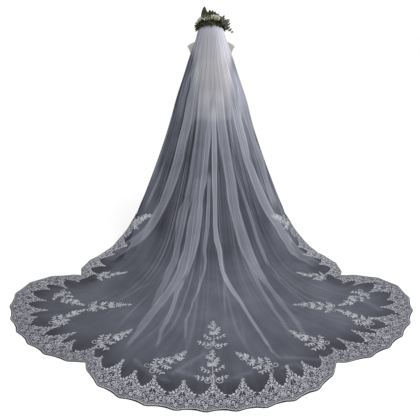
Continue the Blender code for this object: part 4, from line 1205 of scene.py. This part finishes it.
def leafCloth(name, dark, light):
    material, tree, shader = newMaterial(name, {"Roughness": 0.55, "Specular IOR Level": 0.35})
    cut = addNode(tree, "ShaderNodeUVMap", {"uv_map": "cut"})
    parts = addNode(tree, "ShaderNodeSeparateXYZ", None, {"Vector": (cut, "UV")})
    fromRib = worked(tree, "ABSOLUTE", worked(tree, "SUBTRACT", (parts, "X"), 0.5))
    slant = worked(tree, "SUBTRACT", (parts, "Y"), fromRib)
    veins = worked(tree, "SINE", worked(tree, "MULTIPLY", slant, leafLook["veins"]))
    veinTone = worked(tree, "MULTIPLY_ADD", veins, leafLook["veinShow"], noise(tree, 46.0, 3.0))
    wholeTone = worked(tree, "MULTIPLY", veinTone, attribute(tree, "leafTone"))
    blade = toneRamp(tree, wholeTone, ((0.30, dark), (0.80, light)))
    ribbed = mixed(tree, ranged(tree, fromRib, 0.0, 0.05, 0.55, 0.0), blade, light)
    geometry = addNode(tree, "ShaderNodeNewGeometry")
    sides = mixed(tree, (geometry, "Backfacing"), ribbed, leafLook["back"])
    finishCloth(tree, shader, sides, veins, 0.5, 0.0008)
    return material


def leafPiece(name, parts, cloth, kind):
    points, faces, tones, across, along = joined(parts)
    piece = newPiece(name, (points + formAxis).tolist(), faces, leafCloth(cloth, *leafLook[kind]))
    addTone(piece, "leafTone", tones)
    addUv(piece, across, along)
    inFrame(piece, "wreath_leaves")


wreathMake = {
    # lengths, widths and droops in millimetres, turns in degrees
    "leafRows": (
        # lift on the tube, angle between leaves, lengths, width share, spread
        (104, 9, (66, 80, 70, 86), 0.44, 24), (84, 10, (62, 72, 54), 0.46, 30),
        (56, 9, (50, 42, 58), 0.48, 34), (28, 10, (44, 52, 38), 0.48, 34),
        (4, 11, (40, 46, 34), 0.50, 30), (132, 14, (34, 40), 0.50, 18),
    ),
    "laurel": (
        # around, lift, heading in and up, length, width
        (-44, 74, 20, 62, 24), (-34, 52, -24, 56, 24), (-14, 60, 30, 48, 22), (0, 50, -34, 50, 22),
        (40, 66, 30, 52, 22), (52, 40, -30, 54, 23), (72, 54, 14, 50, 22), (-70, 60, -12, 46, 20),
        (84, 30, 20, 50, 22), (-22, 24, 20, 40, 20), (30, 22, -24, 40, 20), (60, 12, 30, 42, 20),
        (64, 86, -30, 56, 23), (8, 92, 24, 60, 24), (110, 60, 15, 46, 19), (150, 64, -15, 46, 19),
        (-110, 60, 18, 46, 19), (-150, 62, -16, 46, 19),
    ),
    # around, lift, length and width of the one tall leaf and its neighbours
    "tall": (
        (-55, 96, 130, 54), (-34, 92, 94, 38), (-60, 94, 74, 34), (-8, 92, 90, 36), (-20, 84, 72, 34),
        (10, 92, 86, 36), (28, 94, 80, 34), (2, 78, 66, 32), (-76, 88, 60, 30), (42, 90, 66, 30),
        (-70, 80, 52, 28),
    ),
    "tallFoot": 80, "tallTurn": 0.4,
    "hanging": (
        (-84, -34, 66, 28), (-72, -12, 66, 28), (-96, -14, 62, 26), (-60, -40, 56, 24), (-76, -56, 62, 26),
        (-90, 12, 58, 26), (-68, 14, 58, 24), (78, -18, 50, 22), (88, -30, 44, 20), (66, -34, 46, 20),
        (62, -48, 58, 28), (74, -40, 64, 30), (82, -24, 60, 28), (54, -56, 52, 24), (90, -52, 52, 26),
    ),
    # rows that fall over the ribbon: lift, way out, heading, lengths, width share, angle between
    "skirt": ((44, 6, -50, (56, 66, 50), 0.46, 7), (8, 9, -70, (46, 54, 40), 0.50, 7)),
    "skirtSide": 78,
    # around, lift, length, droop, pairs of leaves
    "sprigs": (
        (66, 22, 82, 36, 4), (84, 4, 90, 52, 5), (60, 48, 60, 6, 4), (76, 32, 78, 16, 4),
        (72, -12, 74, 30, 4), (-160, 30, 50, 10, 4), (140, 34, 50, 10, 4),
    ),
    "sprigStem": 0.0009, "sprigDroop": 1.4, "sprigLeaf": (0.027, 0.011), "sprigTip": (0.014, 0.011),
    # where each rose sits around the ring and its size, the two large ones first; the rows' leaves
    # make room for all of them, and the skirt's for the large ones
    "blooms": ((-60, 29), (20, 30), (-20, 22), (60, 20)),
    # how unevenly the leaves of the rows and of the skirt are set
    "rowUneven": {
        "around": 3, "tilt": 10, "length": (0.86, 1.1), "faceUp": 0.8, "bend": (0.1, 0.4),
        "tone": (0.7, 1.15),
    },
    "skirtUneven": {"around": 2, "tilt": 8, "swing": 0.6, "tone": (0.6, 1.1), "laurelEvery": 4},
    # room to each side, and the lifts between which it is kept
    "bloomRoom": (11, 20, 60), "skirtRoom": 10,
    "ringSteps": 72, "ringShare": 0.92, "seed": 5,
}


def toward(around, lift, swing):
    # away from the tube at a lift, swung sideways along the ring
    return aroundTube(around, lift) + roundWreath(around + 90) * swing


def nearBlooms(angle, blooms, room):
    return min(abs(angle - bloom) for bloom in blooms) < room


chance = np.random.default_rng(wreathMake["seed"])
room, lowLift, highLift = wreathMake["bloomRoom"]
bloomAngles = [around for around, _ in wreathMake["blooms"]]
ring = [onRing(angle, 0, -neck["tube"]) for angle in np.linspace(0, 360, wreathMake["ringSteps"] + 1)]
dark, mid, grey = [stemTube(ring, neck["tube"] * wreathMake["ringShare"], 0.7, 12)], [], []
uneven = wreathMake["rowUneven"]
for lift, every, lengths, widthShare, spread in wreathMake["leafRows"]:
    for number, around in enumerate(np.arange(lift % every, 360.0, every)):
        angle = around + chance.uniform(-uneven["around"], uneven["around"])
        tilt = lift + chance.uniform(-uneven["tilt"], uneven["tilt"])
        if lowLift < lift < highLift and nearBlooms(angle, np.array(bloomAngles) % 360, room):
            continue
        length = lengths[number % len(lengths)] / 1000 * chance.uniform(*uneven["length"])
        away = toward(angle, tilt, math.tan(math.radians(chance.uniform(-spread, spread))))
        facing = aroundTube(angle, tilt - 90 if chance.uniform() < uneven["faceUp"] else tilt + 90)
        dark.append(leafBlade(
            onRing(angle, lift, -0.003), away, facing, length, length * widthShare,
            chance.uniform(*uneven["bend"]), 0.15, chance.uniform(*uneven["tone"]),
        ))
for around, lift, length, width in wreathMake["tall"]:
    facing = aroundTube(around * wreathMake["tallTurn"], lift - 90)
    foot = onRing(around, wreathMake["tallFoot"])
    dark.append(leafBlade(foot, aroundTube(around, lift), facing, length / 1000, width / 1000, -0.05, 0.4))
for around, lift, length, width in wreathMake["hanging"]:
    facing = neckBack + aroundTube(around, lift + 90) * 0.5
    away = aroundTube(around, lift) - neckUp * 0.2
    dark.append(leafBlade(
        onRing(around, lift), away, facing, length / 1000, width / 1000, 0.15, 0.25,
        chance.uniform(0.7, 1.0),
    ))
uneven, skirtSide = wreathMake["skirtUneven"], wreathMake["skirtSide"]
for lift, out, headingDown, lengths, widthShare, every in wreathMake["skirt"]:
    for number, around in enumerate(np.arange(-skirtSide, skirtSide + 1, every)):
        angle = around + chance.uniform(-uneven["around"], uneven["around"])
        if lift > lowLift and nearBlooms(angle, bloomAngles[:2], wreathMake["skirtRoom"]):
            continue
        tilt = headingDown + chance.uniform(-uneven["tilt"], uneven["tilt"])
        away = toward(angle, tilt, chance.uniform(-uneven["swing"], uneven["swing"]))
        length = lengths[number % len(lengths)] / 1000
        (mid if number % uneven["laurelEvery"] == 1 else dark).append(leafBlade(
            onRing(angle, lift, out / 1000), away, aroundTube(angle, headingDown + 90), length,
            length * widthShare, 0.15, 0.15, chance.uniform(*uneven["tone"]),
        ))
for around, lift, swing, length, width in wreathMake["laurel"]:
    mid.append(leafBlade(
        onRing(around, lift, 0.006), toward(around, lift, math.tan(math.radians(swing))),
        aroundTube(around, lift - 70), length / 1000, width / 1000, 0.3, 0.2, chance.uniform(0.85, 1.2),
    ))
for around, lift, length, droop, pairs in wreathMake["sprigs"]:
    foot, away = onRing(around, lift), aroundTube(around, lift)

    def onSprig(t):
        return foot + away * length / 1000 * t - neckUp * droop / 1000 * t * t * wreathMake["sprigDroop"]

    grey.append(stemTube([onSprig(t) for t in np.linspace(0, 1, 9)], wreathMake["sprigStem"], 0.8))
    atFoot, less = wreathMake["sprigLeaf"]
    for number, t in enumerate(np.linspace(0.25, 1, pairs * 2)):
        swing = roundWreath(around + 90) * chance.uniform(-0.5, 0.5)
        leafAway = away * 0.6 + neckUp * (1 if number % 2 else -1) + swing
        size = atFoot - less * t
        grey.append(leafBlade(
            onSprig(t), leafAway, neckUp * 0.5 + neckBack, size, size * 0.86, 0.1, 0.9,
            chance.uniform(0.6, 1.15),
        ))
    grey.append(leafBlade(onSprig(1), away, neckUp + neckBack * 0.4, *wreathMake["sprigTip"], 0.1, 0.8, 0.8))
leafPiece("wreath_dark_leaves", dark, "pressedSilkRuscus", "ruscus")
leafPiece("wreath_laurel_leaves", mid, "pressedSilkLaurel", "laurel")
leafPiece("wreath_sprigs", grey, "pressedSilkEucalyptus", "eucalyptus")

# cloth roses: cupped petals of soft cream cloth, darker and greener towards the inner petals and each
# petal's foot
roseLook = {"heart": "#7d8259", "petal": "#b4b69d", "rim": "#d8d9c8"}
petalCloth, tree, shader = newMaterial(
    "creamPetalCloth", {"Roughness": 0.8, "Sheen Weight": 0.15, "Specular IOR Level": 0.2},
)
grain = noise(tree, 220.0, 3.0)
petalTone = worked(tree, "ADD", attribute(tree, "petalTone"), ranged(tree, grain, 0.0, 1.0, -0.12, 0.12))
petalColour = toneRamp(
    tree, petalTone, ((0.0, roseLook["heart"]), (0.55, roseLook["petal"]), (1.0, roseLook["rim"])),
)
finishCloth(tree, shader, petalColour, grain, 0.2, 0.0006)

roseMake = {
    "lift": 46.0,               # how far up the tube the roses sit
    # petals in each round, how far out, how high, how wide open, width in degrees
    "rounds": (
        (3, 0.22, 0.62, 0.05, 150.0), (4, 0.42, 0.60, 0.16, 120.0), (5, 0.62, 0.52, 0.30, 100.0),
        (6, 0.80, 0.40, 0.52, 84.0),
    ),
    "rows": 7, "columns": 9, "sunk": 0.75, "narrowing": 0.55, "rolled": 0.18, "ripple": (0.03, 7), "seed": 9,
}


def petal(bloom, turn, petalAngle, radius, height, opening, wide):
    # how high, how far out and at which angle each point of one petal stands, and its tone
    half = math.radians(wide / 2)
    spread = np.linspace(-half, half, roseMake["columns"])[None, :]
    t = np.linspace(0, 1, roseMake["rows"])[:, None]
    narrow = 1 - roseMake["narrowing"] * np.abs(spread / half)**2.5 * t
    sunk, (ripple, waves) = roseMake["sunk"], roseMake["ripple"]
    rise = bloom * (-sunk + (height + sunk) * t * narrow - roseMake["rolled"] * opening * t**5)
    angles = petalAngle + spread
    reachOut = radius * (0.30 + 0.70 * np.sin(t * np.pi / 2)) + opening * t**3
    reachOut = bloom * (reachOut + ripple * np.sin(angles * waves + turn) * t**3)
    tones = np.broadcast_to(0.15 + 0.25 * radius + 0.55 * t**1.5, rise.shape).ravel()
    return rise, reachOut, angles, tones


for number, (around, bloomSize) in enumerate(wreathMake["blooms"], 1):
    bloom = bloomSize / 1000
    chance = np.random.default_rng(roseMake["seed"] + number)
    axis = aroundTube(around, roseMake["lift"])
    middle = wreathMiddle + roundWreath(around) * ringRadius + axis * (tubeFlat + neck["seamGap"] + bloom)
    forward, right, up = frameFor(axis, np.array([0.1, 0.9, 0.2]))
    parts = []
    for petals, *shape in roseMake["rounds"]:
        turn = chance.uniform(0, 360)
        for k in range(petals):
            petalAngle = math.radians(turn + 360 * k / petals)
            rise, reachOut, angles, tones = petal(bloom, turn, petalAngle, *shape)
            points = middle + rise[..., None] * forward
            points = points + (reachOut * np.cos(angles))[..., None] * right
            points = points + (reachOut * np.sin(angles))[..., None] * up
            parts.append((points.reshape(-1, 3), gridFaces(*rise.shape), 1.0, tones, tones))
    points, faces, _, tones, _ = joined(parts)
    rose = newPiece(f"cloth_rose_{number}", (points + formAxis).tolist(), faces, petalCloth)
    addTone(rose, "petalTone", tones)
    inFrame(rose, f"wreath_rose_{number}")
print("wreath bound")


# dress form: padded torso under a drawn jersey cover, with four cover seams
formMake = {
    # height, half width, depth in front and behind
    "sections": (
        (0.760, 0.160, 0.105, 0.100), (0.840, 0.172, 0.112, 0.110), (0.940, 0.155, 0.103, 0.095),
        (1.040, 0.124, 0.092, 0.078), (1.140, 0.136, 0.108, 0.086), (1.220, 0.152, 0.128, 0.096),
        (1.310, 0.168, 0.112, 0.104), (1.380, 0.188, 0.092, 0.100), (1.415, 0.200, 0.070, 0.082),
        (1.432, 0.172, 0.060, 0.076), (1.448, 0.135, 0.054, 0.072), (1.464, 0.096, 0.052, 0.068),
    ),
    # where the rings are set closer, and how many there are under and over that height
    "closerFrom": 1.380, "rings": (26, 12), "sides": 96, "seamDepth": 0.0012, "seamWidth": 0.05,
    # share along the neck, and size beside the usual one
    "neckRings": ((0.16, 1.12), (0.40, 1.0), (0.97, 1.0), (1.0, 0.96)), "neckInside": 0.0006, "sharp": 50,
}
jerseyLook = {"shade": "#8f8f8a", "light": "#b4b4ae"}
jersey, tree, shader = newMaterial(
    "cottonJerseyCover", {"Roughness": 0.92, "Sheen Weight": 0.1, "Specular IOR Level": 0.2},
)
knit = addNode(  # knitted ribs 0.9 mm apart, drawn at 6 mm
    tree, "ShaderNodeTexWave",
    {"wave_type": "BANDS", "bands_direction": "X", "Scale": 52.0, "Distortion": 1.2, "Detail": 1.0},
    {"Vector": objectPlace(tree)},
)
knitTone = worked(tree, "MULTIPLY_ADD", (knit, "Fac"), 0.3, noise(tree, 60.0, 4.0))
jerseyColour = toneRamp(tree, knitTone, ((0.35, jerseyLook["shade"]), (0.95, jerseyLook["light"])))
finishCloth(tree, shader, jerseyColour, knitTone, 0.2, 0.0006)


def hardPiece(name, points, faces, material, sharp):
    piece = newPiece(name, points.tolist(), faces, material, weld=True)
    piece.data.set_sharp_from_angle(angle=math.radians(sharp))
    return piece


turns = np.linspace(0, 2 * np.pi, formMake["sides"] + 1)
sections = np.array(formMake["sections"])
lowest, closer, highest = sections[0, 0], formMake["closerFrom"], sections[-1, 0]
under, over = formMake["rings"]
heights = [*np.linspace(lowest, closer, under), *np.linspace(closer, highest, over)[1:]]
levels = refine(sections[:, 1:], sections[:, 0], np.array(heights))
fromSeams = (1 - np.exp(-(wave(turns) / formMake["seamWidth"])**2) for wave in (np.cos, np.sin))
groove = (math.prod(fromSeams) - 1) * formMake["seamDepth"]
rings = []
for level, (halfWidth, frontDepth, backDepth) in zip(heights, levels):
    depth = np.where(np.sin(turns) > 0, frontDepth, backDepth)
    rings.append(np.column_stack([
        (halfWidth + groove) * np.cos(turns), (depth + groove) * np.sin(turns), np.full_like(turns, level),
    ]))
for share, flare in formMake["neckRings"]:
    hub = alongNeck(neck["length"] * share)
    outward = np.cos(turns)[:, None] * (1, 0, 0) - np.sin(turns)[:, None] * neckBack
    rings.append(hub + outward * (neck["radius"] * flare - formMake["neckInside"]))
shell = np.array(rings)
ends = np.array([[0, 0, lowest], alongNeck(neck["length"])])
points = np.concatenate([shell.reshape(-1, 3), ends]) + formAxis
faces = gridFaces(*shell.shape[:2])
lastRing = (len(rings) - 1) * len(turns)
for k in range(len(turns) - 1):
    faces += [(k + 1, k, len(points) - 2), (lastRing + k, lastRing + k + 1, len(points) - 1)]
torso = hardPiece("form_cover", points, faces, jersey, formMake["sharp"])
inFrame(torso, "form_torso")

# stand: steel foot and pole under satin enamel
enamelLook = {"low": "#b2b2b2", "high": "#c4c4c3"}
enamel, tree, shader = newMaterial(
    "satinEnamelledSteel", {"Roughness": 0.42, "Metallic": 0.0, "Specular IOR Level": 0.5},
)
peel = noise(tree, 140.0, 2.0)
enamelColour = toneRamp(tree, peel, ((0.3, enamelLook["low"]), (0.7, enamelLook["high"])))
finishCloth(tree, shader, enamelColour, peel, 0.15, 0.0003)
standMake = {
    # height and radius of each ring
    "profile": (
        (0.0, 0.0), (0.0, 0.176), (0.001, 0.179), (0.005, 0.180), (0.013, 0.180), (0.0155, 0.1795),
        (0.0175, 0.1775), (0.018, 0.175), (0.018, 0.060), (0.0185, 0.030), (0.021, 0.023),
        (0.026, 0.018), (0.034, 0.016), (0.7596, 0.016), (0.7596, 0.0),
    ),
    "sides": 96, "sharp": 40,
}
standTurns = np.linspace(0, 2 * np.pi, standMake["sides"] + 1)
unitRing = np.column_stack([np.cos(standTurns), np.sin(standTurns), np.ones_like(standTurns)])
standRings = np.array([unitRing * (radius, radius, level) for level, radius in standMake["profile"]])
stand = hardPiece(
    "form_stand_turned", standRings.reshape(-1, 3) + formAxis, gridFaces(*standRings.shape[:2]), enamel,
    standMake["sharp"],
)
inFrame(stand, "form_stand")
print("form dressed")


# studio: a pale floor, a pale surround and broad soft lights
studio = {
    "floor": "#fdfdfd", "reach": 60.0, "floorTop": -0.0005, "surround": "#ffffff", "strength": 1.04,
    # name, place, aim, size and power of each light
    "lights": (
        ("rightKey", (4.6, -2.0, 3.2), (0.0, 0.6, 0.7), 2.6, 55),
        ("topGlow", (0.8, -0.6, 5.0), (0.0, -0.4, 0.0), 3.0, 20),
    ),
}
floorPaint, tree, shader = newMaterial(
    "paleStudioFloor", {"Base Color": linear(studio["floor"]), "Roughness": 0.9, "Specular IOR Level": 0.1},
)
corners = [
    (x * studio["reach"], y * studio["reach"], studio["floorTop"])
    for x, y in ((-1, -1), (1, -1), (1, 1), (-1, 1))
]
studioFloor = newPiece("studio_floor", corners, [(0, 1, 2, 3)], floorPaint, False)
world = bpy.data.worlds.new("studioSurround")
bpy.context.scene.world = world
world.use_nodes = True
background = world.node_tree.nodes["Background"]
background.inputs["Color"].default_value = linear(studio["surround"])
background.inputs["Strength"].default_value = studio["strength"]
for name, spot, aim, size, power in studio["lights"]:
    lampData = bpy.data.lights.new(name, "AREA")
    lampData.size = size
    lampData.energy = power
    lamp = bpy.data.objects.new(name, lampData)
    bpy.context.scene.collection.objects.link(lamp)
    lamp.location = spot
    lamp.rotation_euler = (Vector(aim) - Vector(spot)).to_track_quat("-Z", "Y").to_euler()
bpy.context.scene.view_settings.view_transform = "Standard"
